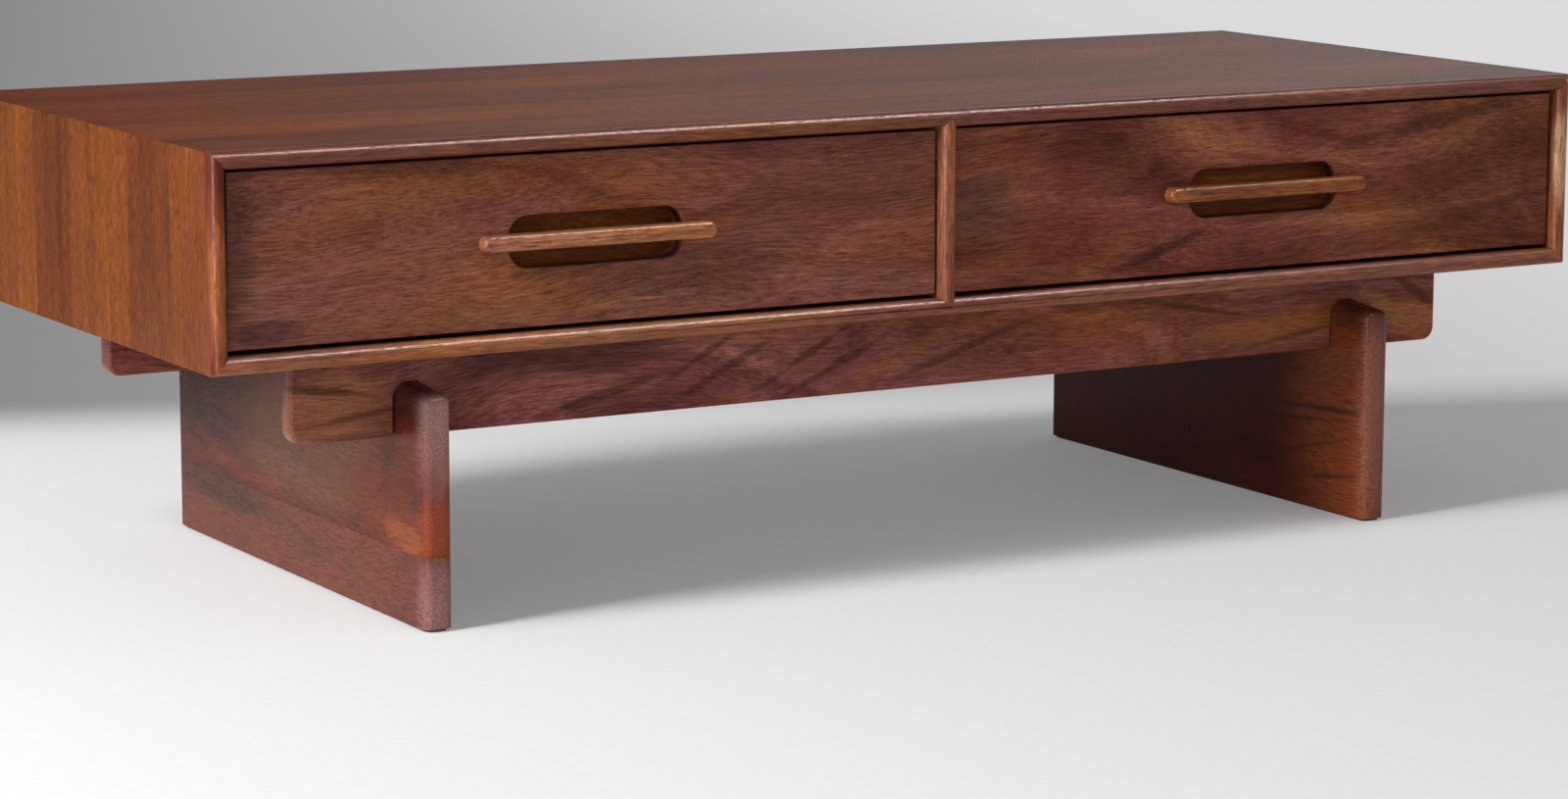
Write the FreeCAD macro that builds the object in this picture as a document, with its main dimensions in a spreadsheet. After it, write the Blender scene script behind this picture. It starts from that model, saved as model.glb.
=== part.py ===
# A low coffee table: a mitred case with two drawers side by side, on two slab legs and two
# rails that lap over each other. Millimetres. The origin is on the floor under the middle of
# the table, +X runs along its length to the right, the drawers open towards -Y, +Z is up.
import FreeCAD, Part

import math
import os
import re

import Sketcher

Vector = FreeCAD.Vector
Rotation = FreeCAD.Rotation

# The driving dimensions. Each has one value here and goes into the sheet under its own name.
SIZES = {
    # the case
    "case_length": 1372,
    "case_depth": 565,
    "case_height": 178.5,
    "floor_clearance": 231,
    "board": 15,
    "lipping_depth": 11.5,
    "face_setback": 10,
    "back_setback": 14,
    "back_thickness": 9,
    "back_housing": 6,
    "spline_thickness": 4,
    "spline_width": 14,
    "spline_offset": 10,
    "spline_end_gap": 40,
    "dowel_radius": 4,
    "dowel_length": 20,
    "dowel_depth": 8,
    # the base
    "leg_inset": 191,
    "leg_setback": 20,
    "leg_thickness": 27,
    "leg_edge_radius": 9,
    "shoulder_drop": 33,
    "strip_thickness": 2.5,
    "strip_inset": 4,
    "rail_inset": 97,
    "rail_setback": 73,
    "rail_thickness": 19.5,
    "rail_height": 74.5,
    "rail_end_radius": 12,
    "rail_mouth_radius": 4,
    "rail_arris": 3.5,
    "lap_clearance": 0.2,
    "lap_screw_length": 60,
    "lap_screw_radius": 2.5,
    "lap_screw_head_radius": 5,
    "lap_screw_head_depth": 3,
    "bolt_end_inset": 45,
    "bolt_radius": 3,
    "bolt_grip": 12,
    "bolt_head_radius": 5.5,
    "bolt_head_height": 3.3,
    "washer_radius": 9,
    "washer_thickness": 1.5,
    "insert_radius": 4.5,
    "insert_length": 14,
    # the drawer fronts and handles
    "side_gap": 3,
    "top_gap": 2.7,
    "bottom_gap": 3.5,
    "front_thickness": 19,
    "front_ease": 1,
    "cutout_width": 163,
    "cutout_height": 44,
    "cutout_radius": 18,
    "handle_overlap": 27,
    "handle_height": 13.5,
    "handle_rise": 0.8,
    "handle_projection": 12,
    "handle_arris": 3.5,
    "handle_screw_bite": 10,
    "handle_screw_radius": 2,
    "handle_screw_head_radius": 4,
    "handle_screw_head_depth": 2.4,
    # the drawer boxes
    "box_wall": 12,
    "box_lift": 15,
    "box_headroom": 26,
    "rear_space": 55,
    "box_floor": 6,
    "box_floor_rise": 12,
    "box_housing": 6,
    "tail_root": 19,
    "tail_flare": 2,
    "front_screw_bite": 13,
    "front_screw_radius": 2,
    "front_screw_head_radius": 4.2,
    "front_screw_head_height": 2.2,
    # the drawer runners
    "runner_width": 12.7,
    "runner_height": 45,
    "runner_rise": 42,
    "runner_setback": 2.5,
    "runner_steel": 1.2,
    "cabinet_reach": 10.2,
    "cabinet_lip": 1.3,
    "middle_offset": 1.9,
    "middle_reach": 10.8,
    "middle_lip": 1.1,
    "drawer_reach": 4.3,
    "drawer_lip": 0.9,
    "ball_radius": 1.6,
    "ball_clearance": 0.2,
    "outer_ball_place": 5.5,
    "inner_ball_place": 7.5,
    "cage_length": 160,
    "cage_width": 4.4,
    "cage_thickness": 0.6,
    "cage_play": 0.05,
    "runner_screw_radius": 1.7,
    "runner_screw_length": 10.5,
    "runner_screw_head_radius": 3.4,
    "runner_screw_head_depth": 1.8,
    "runner_screw_stagger": 14,
}

# How far two coordinates may differ and still be taken as the same place.
SAME_PLACE = 1e-3

# Counts and shares, which have no length.
TAILS = 3
BALLS = 5
DOWEL_SHARES = (0.15, 0.5, 0.82)
BOLT_SHARES = (-1, -0.33, 0.33, 1)
RUNNER_SCREW_SHARES = (0.06, 0.48, 0.9)
FRONT_SCREW_SHARES = (-0.78, 0.78)
FRONT_SCREW_HEIGHT_SHARES = (0.28, 0.82)

# Places worked out from the driving dimensions, each a formula of sizes and other places.
PLACES = {
    # the case, along X
    "case_end": "case_length / 2",
    "inner_end": "case_end - board",
    "half_board": "board / 2",
    # the case, along Y, from the crest of the front lippings to that of the back ones
    "front_crest": "-case_depth / 2",
    "back_crest": "case_depth / 2",
    "front_joint": "front_crest + lipping_depth",
    "back_joint": "back_crest - lipping_depth",
    "face_plane": "front_crest + face_setback",
    "back_plane": "back_crest - back_setback",
    "back_inside": "back_plane - back_thickness",
    # the case, along Z
    "case_bottom": "floor_clearance",
    "case_top": "floor_clearance + case_height",
    "case_middle": "floor_clearance + case_height / 2",
    "inner_floor": "case_bottom + board",
    "inner_top": "case_top - board",
    # half the spline's width and thickness, along the slope of the mitre
    "spline_reach": "spline_width / (2 * sqrt(2))",
    "spline_half": "spline_thickness / (2 * sqrt(2))",
    # the base
    "leg_outside": "case_end - leg_inset",
    "leg_inside": "leg_outside - leg_thickness",
    "leg_middle": "leg_outside - leg_thickness / 2",
    "leg_front": "front_crest + leg_setback",
    "leg_back": "back_crest - leg_setback",
    "shoulder": "case_bottom - shoulder_drop",
    "rail_end": "case_end - rail_inset",
    "rail_bottom": "case_bottom - rail_height",
    "rail_face": "case_depth / 2 - rail_setback",
    "rail_inside": "rail_face - rail_thickness",
    "rail_middle": "rail_face - rail_thickness / 2",
    "bolt_spread": "rail_end - bolt_end_inset",
    "bolt_top": "inner_floor + washer_thickness + bolt_head_height",
    # the drawers
    "handle_end": "cutout_width / 2 + handle_overlap - handle_height / 2",
    "handle_screw_place": "(cutout_width + handle_overlap) / 2",
    "handle_middle": "case_middle + handle_rise",
    "front_back": "face_plane + front_thickness",
    "box_back": "back_inside - rear_space",
    "box_bottom": "inner_floor + box_lift",
    "box_top": "inner_top - box_headroom",
    "box_height": "box_top - box_bottom",
    "tail_pitch": "box_height / %d" % TAILS,
    "box_floor_bottom": "box_bottom + box_floor_rise",
    # the runners
    "runner_start": "front_back + runner_setback",
    "runner_length": "box_back - runner_start",
    "runner_middle": "box_bottom + runner_rise",
    "runner_centre": "runner_start + runner_length / 2",
    "cabinet_half": "runner_height / 2",
    "ball_room": "2 * ball_radius + 2 * ball_clearance",
    "outer_ball_rise": "cabinet_half - runner_steel - ball_room / 2",
    "middle_half": "cabinet_half - runner_steel - ball_room",
    "inner_ball_rise": "middle_half - runner_steel - ball_room / 2",
    "drawer_half": "middle_half - runner_steel - ball_room",
}

AXES = {
    "+x": Rotation(Vector(0, 1, 0), 90),
    "-x": Rotation(Vector(0, 1, 0), -90),
    "+y": Rotation(Vector(1, 0, 0), -90),
    "-y": Rotation(Vector(1, 0, 0), 90),
    "+z": Rotation(),
    "-z": Rotation(Vector(1, 0, 0), 180),
}

# The origin plane that an outline lies on, and the coordinate that its pad runs along.
PLANES = {"XY": "z", "XZ": "y", "YZ": "x"}

doc = FreeCAD.newDocument("CoffeeTable")
parts = []


def fill_sheet():
    """Put every driving dimension into the sheet, under its own name."""
    sheet = doc.addObject("Spreadsheet::Sheet", "Sizes")
    for row, (name, value) in enumerate(SIZES.items(), start=1):
        sheet.set("A%d" % row, name)
        sheet.set("B%d" % row, str(value))
        sheet.setAlias("B%d" % row, name)
    doc.recompute()


def formula(text):
    """Spell a formula out, with every place worked out from the sheet's sizes."""
    def spell(match):
        word = match.group(0)
        if word in PLACES:
            return "(" + formula(PLACES[word]) + ")"
        return "Sizes." + word if word in SIZES else word
    return re.sub(r"[a-z][a-z_]*", spell, text)


def bind(item, formulas):
    """Tie each named property of an object to its formula."""
    for path, text in formulas.items():
        item.setExpression(path, formula(text))
    return item


def put(item, point):
    """Tie an object's place to three formulas."""
    paths = ("Placement.Base.x", "Placement.Base.y", "Placement.Base.z")
    return bind(item, dict(zip(paths, point)))


def finish(name, item):
    """Give a finished piece its name and list it among the pieces."""
    item.Label = name
    parts.append(item)
    return item


def block(name, x, y, z):
    """A squared piece, each side given as a low and a high place."""
    item = doc.addObject("Part::Box", name)
    spans = ["(%s) - (%s)" % (high, low) for low, high in (x, y, z)]
    bind(item, dict(zip(("Length", "Width", "Height"), spans)))
    return put(item, (x[0], y[0], z[0]))


def rod(name, point, axis, radius, length):
    """A round bar that starts at a point and runs along an axis."""
    item = doc.addObject("Part::Cylinder", name)
    item.Placement = FreeCAD.Placement(Vector(), AXES[axis])
    bind(item, {"Radius": radius, "Height": length})
    return put(item, point)


def ball(name, point, radius):
    """A ball around a point."""
    item = bind(doc.addObject("Part::Sphere", name), {"Radius": radius})
    return put(item, point)


def fuse(name, items):
    """Several shapes made one."""
    item = doc.addObject("Part::MultiFuse", name)
    item.Shapes = items
    item.Refine = True
    return item


def common(name, items):
    """What several shapes share."""
    item = doc.addObject("Part::MultiCommon", name)
    item.Shapes = items
    return item


def group(name, items):
    """Separate solids kept as one piece of the list, such as a set of screws."""
    item = doc.addObject("Part::Compound", name)
    item.Links = items
    return item


def cut(name, base, tools):
    """A shape with others taken out of it, one after the other."""
    for number, tool in enumerate(tools, start=1):
        item = doc.addObject("Part::Cut", "%s_cut_%d" % (name, number))
        item.Base = base
        item.Tool = tool
        base = item
    return base


def outline(body, name, plane, corners):
    """A closed outline of straight lines on a body's origin plane, two formulas to a corner."""
    sketch = body.newObject("Sketcher::SketchObject", name)
    role = plane + "_Plane"
    support = [item for item in body.Origin.OriginFeatures if item.Role == role][0]
    sketch.AttachmentSupport = [(support, "")]
    sketch.MapMode = "FlatFace"
    count = len(corners)
    turn = 2 * math.pi / count
    starts = [Vector(math.cos(turn * n + 1), math.sin(turn * n + 1), 0) for n in range(count)]
    sketch.addGeometry([Part.LineSegment(starts[n], starts[(n + 1) % count]) for n in range(count)])
    joins = [Sketcher.Constraint("Coincident", n, 2, (n + 1) % count, 1) for n in range(count)]
    sketch.addConstraint(joins)
    for n, (across, up) in enumerate(corners):
        for kind, text, value in (("DistanceX", across, starts[n].x), ("DistanceY", up, starts[n].y)):
            index = sketch.addConstraint(Sketcher.Constraint(kind, -1, 1, n, 1, value))
            bind(sketch, {"Constraints[%d]" % index: text})
    return sketch


def prism(name, plane, corners, span):
    """A body of one padded outline, between a low and a high place along the plane's normal."""
    body = doc.addObject("PartDesign::Body", name)
    pad = body.newObject("PartDesign::Pad", name + "_pad")
    pad.Profile = outline(body, name + "_outline", plane, corners)
    pad.Reversed = plane == "XZ"
    bind(pad, {"Length": "(%s) - (%s)" % (span[1], span[0])})
    bind(body, {"Placement.Base." + PLANES[plane]: span[0]})
    doc.recompute()
    return body


def rounded_copy(name, base):
    """A body that starts from another shape, so that its edges can be rounded."""
    body = doc.addObject("PartDesign::Body", name)
    body.BaseFeature = base
    doc.recompute()
    return body


def round_edges(body, name, radius, test):
    """Round the edges of a body's last shape that pass a test."""
    last = body.Tip
    box = last.Shape.BoundBox
    edges = enumerate(last.Shape.Edges, start=1)
    names = ["Edge%d" % number for number, edge in edges if test(edge.BoundBox, box)]
    fillet = body.newObject("PartDesign::Fillet", name)
    fillet.Base = (last, names)
    bind(fillet, {"Radius": radius})
    doc.recompute()
    return body


def runs(edge, axis):
    """Whether an edge runs along one axis."""
    lengths = {"x": edge.XLength, "y": edge.YLength, "z": edge.ZLength}
    along = lengths.pop(axis)
    return along > SAME_PLACE and max(lengths.values()) < SAME_PLACE


def same(one, other):
    """Whether two coordinates are the same."""
    return abs(one - other) < SAME_PLACE


def at_end(low, high, box_low, box_high):
    """Whether a span lies wholly at one end of another."""
    return same(low, high) and (same(low, box_low) or same(low, box_high))


def countersunk(name, point, axis, sizes, length):
    """A countersunk wood screw, the flat of its head at the point, named after its sizes."""
    head = doc.addObject("Part::Cone", name + "_head")
    head.Placement = FreeCAD.Placement(Vector(), AXES[axis])
    bind(head, {"Radius1": sizes + "_head_radius", "Radius2": sizes + "_radius"})
    bind(head, {"Height": sizes + "_head_depth"})
    put(head, point)
    return fuse(name, [head, rod(name + "_shank", point, axis, sizes + "_radius", length)])


def pan_headed(name, point, axis, radius, head_radius, head_height, length):
    """A screw or bolt with a round flat head, whose top is at the point."""
    head = rod(name + "_head", point, axis, head_radius, head_height)
    return fuse(name, [head, rod(name + "_shank", point, axis, radius, length)])


def mitred_board(sign_x, sign_z):
    """The outline of one of the case's four boards, mitred at both ends, seen from the front."""
    if sign_z:
        outer = "case_top" if sign_z > 0 else "case_bottom"
        inner = "inner_top" if sign_z > 0 else "inner_floor"
        return [("-case_end", outer), ("case_end", outer), ("inner_end", inner), ("-inner_end", inner)]
    outer, inner = ("case_end", "inner_end") if sign_x > 0 else ("-case_end", "-inner_end")
    return [(outer, "case_bottom"), (outer, "case_top"), (inner, "inner_top"), (inner, "inner_floor")]


BOARDS = {
    "top_panel": (0, 1),
    "bottom_panel": (0, -1),
    "left_side": (-1, 0),
    "right_side": (1, 0),
}


def mitre_splines():
    """Loose tongues along the four mitres, square to the joint and nearer its inner corner."""
    tongues = []
    span = ("front_joint + spline_end_gap", "back_inside - spline_end_gap")
    for sx in (-1, 1):
        for sz in (-1, 1):
            across = "%d * (case_end - spline_offset)" % sx
            level = "case_top - spline_offset" if sz > 0 else "case_bottom + spline_offset"
            corners = []
            for reach, half in ((1, 1), (1, -1), (-1, -1), (-1, 1)):
                x = "%s + %d * spline_reach + %d * spline_half" % (across, sx * reach, sx * half)
                z = "%s + %d * spline_reach + %d * spline_half" % (level, -sz * reach, sz * half)
                corners.append((x, z))
            tongues.append(prism("spline_%d" % len(tongues), "XZ", corners, span))
    return finish("mitre_splines", group("splines", tongues))


def divider_dowels():
    """Dowels that join the centre divider to the top and bottom boards."""
    dowels = []
    for share in DOWEL_SHARES:
        along = "front_joint + %s * (back_inside - front_joint)" % share
        for level, axis in (("inner_floor - dowel_depth", "+z"), ("inner_top + dowel_depth", "-z")):
            name = "dowel_%d" % len(dowels)
            dowels.append(rod(name, ("0", along, level), axis, "dowel_radius", "dowel_length"))
    return finish("divider_dowels", group("dowels", dowels))


def case_bolts():
    """Bolts from inside the case into the rails, with their washers and threaded inserts."""
    bolts, washers, inserts, sockets = [], [], [], []
    for share in BOLT_SHARES:
        for side in (-1, 1):
            number = len(bolts)
            x, y = "%s * bolt_spread" % share, "%d * rail_middle" % side
            length = "bolt_head_height + washer_thickness + board + bolt_grip"
            bolts.append(pan_headed("bolt_%d" % number, (x, y, "bolt_top"), "-z", "bolt_radius",
                                    "bolt_head_radius", "bolt_head_height", length))
            disc = rod("disc_%d" % number, (x, y, "inner_floor"), "+z", "washer_radius",
                       "washer_thickness")
            washers.append(cut("washer_%d" % number, disc, [bolts[-1]]))
            socket = rod("socket_%d" % number, (x, y, "case_bottom"), "-z", "insert_radius",
                         "insert_length")
            bore = rod("bore_%d" % number, (x, y, "case_bottom"), "-z", "bolt_radius",
                       "insert_length")
            sockets.append(socket)
            inserts.append(cut("insert_%d" % number, socket, [bore]))
    bolt_set = finish("case_bolts", group("bolts", bolts))
    finish("case_bolt_washers", group("washers", washers))
    finish("rail_inserts", group("inserts", inserts))
    return bolt_set, group("sockets", sockets)


def lap_screws():
    """Screws down through each rail into the shoulder of each leg."""
    screws = []
    for side in (-1, 1):
        for end in (-1, 1):
            point = ("%d * leg_middle" % side, "%d * rail_middle" % end, "case_bottom")
            name = "lap_screw_%d" % len(screws)
            screws.append(countersunk(name, point, "-z", "lap_screw", "lap_screw_length"))
    return finish("lap_screws", group("laps", screws))


def lippings():
    """The half-round solid edges round the front and back of the case, and on the divider."""
    middle = "front_crest + half_board"
    notch = {1: [("half_board", "inner_top"), ("0", "inner_top + half_board"),
                 ("-half_board", "inner_top")],
             -1: [("half_board", "inner_floor"), ("0", "inner_floor - half_board"),
                  ("-half_board", "inner_floor")]}
    for face in ("front", "back"):
        crest = middle if face == "front" else "-(%s)" % middle
        joint = "front_joint" if face == "front" else "back_joint"
        straight = (crest, joint) if face == "front" else (joint, crest)
        whole = ("front_crest", "front_joint") if face == "front" else ("back_joint", "back_crest")
        for board, (sign_x, sign_z) in BOARDS.items():
            side = board.split("_")[0]
            name = "%s_%s_lipping" % (face, side)
            corners = mitred_board(sign_x, sign_z)
            if face == "front" and sign_z:
                corners = corners[:3] + notch[sign_z] + corners[3:]
            blank = prism(name + "_blank", "XZ", corners, whole)
            if sign_z:
                level = "case_top - half_board" if sign_z > 0 else "case_bottom + half_board"
                bar = rod(name + "_round", ("-case_end", crest, level), "+x", "half_board", "case_length")
                back = block(name + "_back", ("-case_end", "case_end"), straight,
                             ("%s - half_board" % level, "%s + half_board" % level))
            else:
                across = "%d * (case_end - half_board)" % sign_x
                bar = rod(name + "_round", (across, crest, "case_bottom"), "+z", "half_board", "case_height")
                back = block(name + "_back", ("%s - half_board" % across, "%s + half_board" % across),
                             straight, ("case_bottom", "case_top"))
            finish(name, common(name + "_shape", [blank, fuse(name + "_bar", [bar, back])]))
    corners = [("-half_board", "inner_floor"), ("0", "inner_floor - half_board"),
               ("half_board", "inner_floor"), ("half_board", "inner_top"),
               ("0", "inner_top + half_board"), ("-half_board", "inner_top")]
    blank = prism("divider_lipping_blank", "XZ", corners, ("front_crest", "front_joint"))
    bar = rod("divider_lipping_round", ("0", middle, "case_bottom"), "+z", "half_board", "case_height")
    back = block("divider_lipping_back", ("-half_board", "half_board"), (middle, "front_joint"),
                 ("case_bottom", "case_top"))
    bar = fuse("divider_lipping_bar", [bar, back])
    finish("divider_lipping", common("divider_lipping_shape", [blank, bar]))


def leg(name, sign, screws):
    """A slab leg: shoulders front and back, on which the rails sit, and a middle up to the case."""
    corners = [("leg_front", "strip_thickness"), ("leg_back", "strip_thickness"),
               ("leg_back", "shoulder"), ("rail_inside", "shoulder"),
               ("rail_inside", "case_bottom"), ("-rail_inside", "case_bottom"),
               ("-rail_inside", "shoulder"), ("leg_front", "shoulder")]
    low = "leg_inside" if sign > 0 else "-leg_outside"
    body = prism(name + "_slab", "YZ", corners, (low, "%s + leg_thickness" % low))

    def exposed(edge, box):
        at_front_or_back = at_end(edge.YMin, edge.YMax, box.YMin, box.YMax)
        if runs(edge, "z"):
            return at_front_or_back
        if runs(edge, "x"):
            return at_front_or_back and not same(edge.ZMin, box.ZMin)
        return not at_end(edge.ZMin, edge.ZMax, box.ZMin, box.ZMax)

    round_edges(body, name + "_rounding", "leg_edge_radius", exposed)
    finish(name, cut(name, body, [screws]))
    left, right = "%s + strip_inset" % low, "%s + leg_thickness - strip_inset" % low
    front, back = "leg_front + strip_inset", "leg_back - strip_inset"
    corners = [(left, front), (right, front), (right, back), (left, back)]
    strip = prism(name + "_strip", "XY", corners, ("0", "strip_thickness"))
    round_edges(strip, name + "_strip_rounding", "leg_edge_radius - strip_inset",
                lambda edge, box: runs(edge, "z"))
    finish(name.replace("leg", "foot_strip"), strip)


def rail(name, sign, tools):
    """A rail along the case, notched over both legs, its lower edges and ends rounded."""
    half = [("leg_inside - lap_clearance", "rail_bottom"), ("leg_inside - lap_clearance", "shoulder"),
            ("leg_outside + lap_clearance", "shoulder"), ("leg_outside + lap_clearance", "rail_bottom"),
            ("rail_end", "rail_bottom"), ("rail_end", "case_bottom")]
    mirrored = [("-(%s)" % x, z) for x, z in reversed(half)]
    span = ("rail_inside", "rail_face") if sign > 0 else ("-rail_face", "-rail_inside")
    body = prism(name + "_board", "XZ", half + mirrored, span)
    across = {
        "end": ("rail_end_radius", lambda edge, box: same(edge.ZMin, box.ZMin)
                and at_end(edge.XMin, edge.XMax, box.XMin, box.XMax)),
        "mouth": ("rail_mouth_radius", lambda edge, box: same(edge.ZMin, box.ZMin)
                  and not at_end(edge.XMin, edge.XMax, box.XMin, box.XMax)),
        "notch": ("leg_edge_radius + lap_clearance", lambda edge, box: not same(edge.ZMin, box.ZMin)
                  and not same(edge.ZMax, box.ZMax)),
    }
    for part, (radius, place) in across.items():
        round_edges(body, "%s_%s" % (name, part), radius,
                    lambda edge, box: runs(edge, "y") and place(edge, box))
    round_edges(body, name + "_arris", "rail_arris",
                lambda edge, box: at_end(edge.YMin, edge.YMax, box.YMin, box.YMax)
                and not same(edge.ZMin, box.ZMax))
    finish(name, cut(name, body, tools))


def channel(name, wall, sign, web, tip, half, lip, opens):
    """A rolled steel channel: its web and its rim at two depths, opening to one side or the other."""
    inner_web = "%s + %d * runner_steel" % (web, opens)
    inner_tip = "%s - %d * runner_steel" % (tip, opens)
    thin = "%s - runner_steel" % half
    if opens < 0:
        upper = [(web, half), (inner_tip, half), (inner_tip, "%s + %s" % (half, lip)),
                 (tip, "%s + %s" % (half, lip)), (tip, thin), (inner_web, thin)]
    else:
        upper = [(web, half), (tip, half), (tip, "%s - %s" % (thin, lip)),
                 (inner_tip, "%s - %s" % (thin, lip)), (inner_tip, thin), (inner_web, thin)]
    turned = [(u, "-(%s)" % v) for u, v in reversed(upper)]
    corners = [("%s + %d * (%s)" % (wall, sign, u), "runner_middle + %s" % v) for u, v in upper + turned]
    return prism(name, "XZ", corners, ("runner_start", "runner_start + runner_length"))


def ball_cage(name, wall, sign, place, rise):
    """A pair of retainer strips, over and under, each with a row of balls in its holes."""
    solids = []
    x = "%s + %d * %s" % (wall, sign, place)
    for side in (-1, 1):
        z = "runner_middle + %d * %s" % (side, rise)
        row = "%s_%s" % (name, "upper" if side > 0 else "lower")
        strip = block(row, ("%s - cage_width / 2" % x, "%s + cage_width / 2" % x),
                      ("runner_centre - cage_length / 2", "runner_centre + cage_length / 2"),
                      ("%s - cage_thickness / 2" % z, "%s + cage_thickness / 2" % z))
        holes = []
        for number in range(BALLS):
            y = "runner_centre + cage_length * (%d + 0.5 - %d / 2) / %d" % (number, BALLS, BALLS)
            hole = rod("%s_hole_%d" % (row, number), (x, y, "%s - cage_thickness" % z), "+z",
                       "ball_radius + cage_play", "2 * cage_thickness")
            holes.append(hole)
            solids.append(ball("%s_ball_%d" % (row, number), (x, y, z), "ball_radius"))
        solids.append(cut(row, strip, [group(row + "_holes", holes)]))
    return solids


def runner(side, walls):
    """The two telescopic runners of a drawer, and the screws that hold them."""
    lists = {"cabinet": [], "middle": [], "drawer": [], "outer": [], "inner": []}
    case_screws, box_screws = [], []
    for wall, sign in walls:
        name = "%s_%s" % (side, "near" if sign > 0 else "far")
        cabinet = channel(name + "_cabinet", wall, sign, "0", "cabinet_reach",
                          "cabinet_half", "cabinet_lip", 1)
        middle = channel(name + "_middle", wall, sign, "middle_offset", "middle_reach",
                         "middle_half", "middle_lip", 1)
        drawer = channel(name + "_drawer", wall, sign, "runner_width", "drawer_reach",
                         "drawer_half", "drawer_lip", -1)
        lists["middle"].append(middle)
        lists["outer"] += ball_cage(name + "_outer", wall, sign, "outer_ball_place", "outer_ball_rise")
        lists["inner"] += ball_cage(name + "_inner", wall, sign, "inner_ball_place", "inner_ball_rise")
        into_case, into_box = ("-x", "+x") if sign > 0 else ("+x", "-x")
        stagger = "0" if sign > 0 else "runner_screw_stagger"
        here = {"case": [], "box": []}
        for number, share in enumerate(RUNNER_SCREW_SHARES):
            y = "runner_start + %s * runner_length + %s" % (share, stagger)
            for kind, depth, axis in (("case", "runner_steel", into_case),
                                      ("box", "runner_width - runner_steel", into_box)):
                point = ("%s + %d * (%s)" % (wall, sign, depth), y, "runner_middle")
                here[kind].append(countersunk("%s_%s_screw_%d" % (name, kind, number), point, axis,
                                              "runner_screw", "runner_screw_length"))
        lists["cabinet"].append(cut(name + "_cabinet_member", cabinet,
                                    [group(name + "_case_screws", here["case"])]))
        lists["drawer"].append(cut(name + "_drawer_member", drawer,
                                   [group(name + "_box_screws", here["box"])]))
        case_screws += here["case"]
        box_screws += here["box"]
    finish(side + "_case_runners", group(side + "_cabinet_pair", lists["cabinet"]))
    finish(side + "_middle_runners", group(side + "_middle_pair", lists["middle"]))
    finish(side + "_drawer_runners", group(side + "_drawer_pair", lists["drawer"]))
    finish(side + "_outer_ball_cages", group(side + "_outer_set", lists["outer"]))
    finish(side + "_inner_ball_cages", group(side + "_inner_set", lists["inner"]))
    box_screws = finish(side + "_drawer_runner_screws", group(side + "_box_screw_set", box_screws))
    return case_screws, box_screws


def handle(side, centre):
    """A slat across the cut-out, with round ends and its front arrises rounded over."""
    ends = ["%s - handle_end" % centre, "%s + handle_end" % centre]
    depth = ("face_plane - handle_projection", "face_plane")
    pieces = [block(side + "_slat", ends, depth,
                    ("handle_middle - handle_height / 2", "handle_middle + handle_height / 2"))]
    for number, x in enumerate(ends):
        pieces.append(rod("%s_slat_end_%d" % (side, number), (x, depth[0], "handle_middle"), "+y",
                          "handle_height / 2", "handle_projection"))
    body = rounded_copy(side + "_handle_body", fuse(side + "_slat_blank", pieces))
    round_edges(body, side + "_handle_arris", "handle_arris",
                lambda edge, box: same(edge.YMax, box.YMin))
    screws = []
    for number, sign in enumerate((-1, 1)):
        point = ("%s + %d * handle_screw_place" % (centre, sign), "front_back", "handle_middle")
        screws.append(countersunk("%s_handle_screw_%d" % (side, number), point, "-y", "handle_screw",
                                  "front_thickness + handle_screw_bite"))
    screws = finish(side + "_handle_screws", group(side + "_handle_screw_set", screws))
    finish(side + "_handle", cut(side + "_handle_piece", body, [screws]))
    return screws


def drawer_front(side, low, high, centre, tools):
    """The inset front, with a round-cornered finger cut-out through it and its arrises eased."""
    corners = [("%s + side_gap" % low, "inner_floor + bottom_gap"),
               ("%s - side_gap" % high, "inner_floor + bottom_gap"),
               ("%s - side_gap" % high, "inner_top - top_gap"),
               ("%s + side_gap" % low, "inner_top - top_gap")]
    name = side + "_front"
    body = prism(name, "XZ", corners, ("face_plane", "front_back"))
    opening = [("%s + %d * cutout_width / 2" % (centre, x), "case_middle + %d * cutout_height / 2" % z)
               for x, z in ((-1, -1), (1, -1), (1, 1), (-1, 1))]
    pocket = body.newObject("PartDesign::Pocket", name + "_cutout")
    pocket.Profile = outline(body, name + "_cutout_outline", "XZ", opening)
    pocket.Type = "ThroughAll"
    pocket.Midplane = True
    doc.recompute()
    round_edges(body, name + "_cutout_corners", "cutout_radius",
                lambda edge, box: runs(edge, "y")
                and not at_end(edge.XMin, edge.XMax, box.XMin, box.XMax))
    round_edges(body, name + "_ease", "front_ease",
                lambda edge, box: same(edge.YMax, box.YMin))
    return finish(side + "_drawer_front", cut(name + "_piece", body, tools))


def dovetailed_side(name, x):
    """A drawer side with tails at both ends, which fit between the pins of the front and back."""
    front, back = [], []
    for number in range(TAILS):
        middle = "box_bottom + %s * tail_pitch" % (number + 0.5)
        wide = "(tail_root / 2 + tail_flare)"
        for root, tip, points in (("front_back + box_wall", "front_back", front),
                                  ("box_back - box_wall", "box_back", back)):
            points += [(root, "%s - tail_root / 2" % middle), (tip, "%s - %s" % (middle, wide)),
                       (tip, "%s + %s" % (middle, wide)), (root, "%s + tail_root / 2" % middle)]
    corners = [("front_back + box_wall", "box_bottom")] + front
    corners += [("front_back + box_wall", "box_top"), ("box_back - box_wall", "box_top")]
    corners += list(reversed(back)) + [("box_back - box_wall", "box_bottom")]
    return prism(name, "YZ", corners, x)


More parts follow.
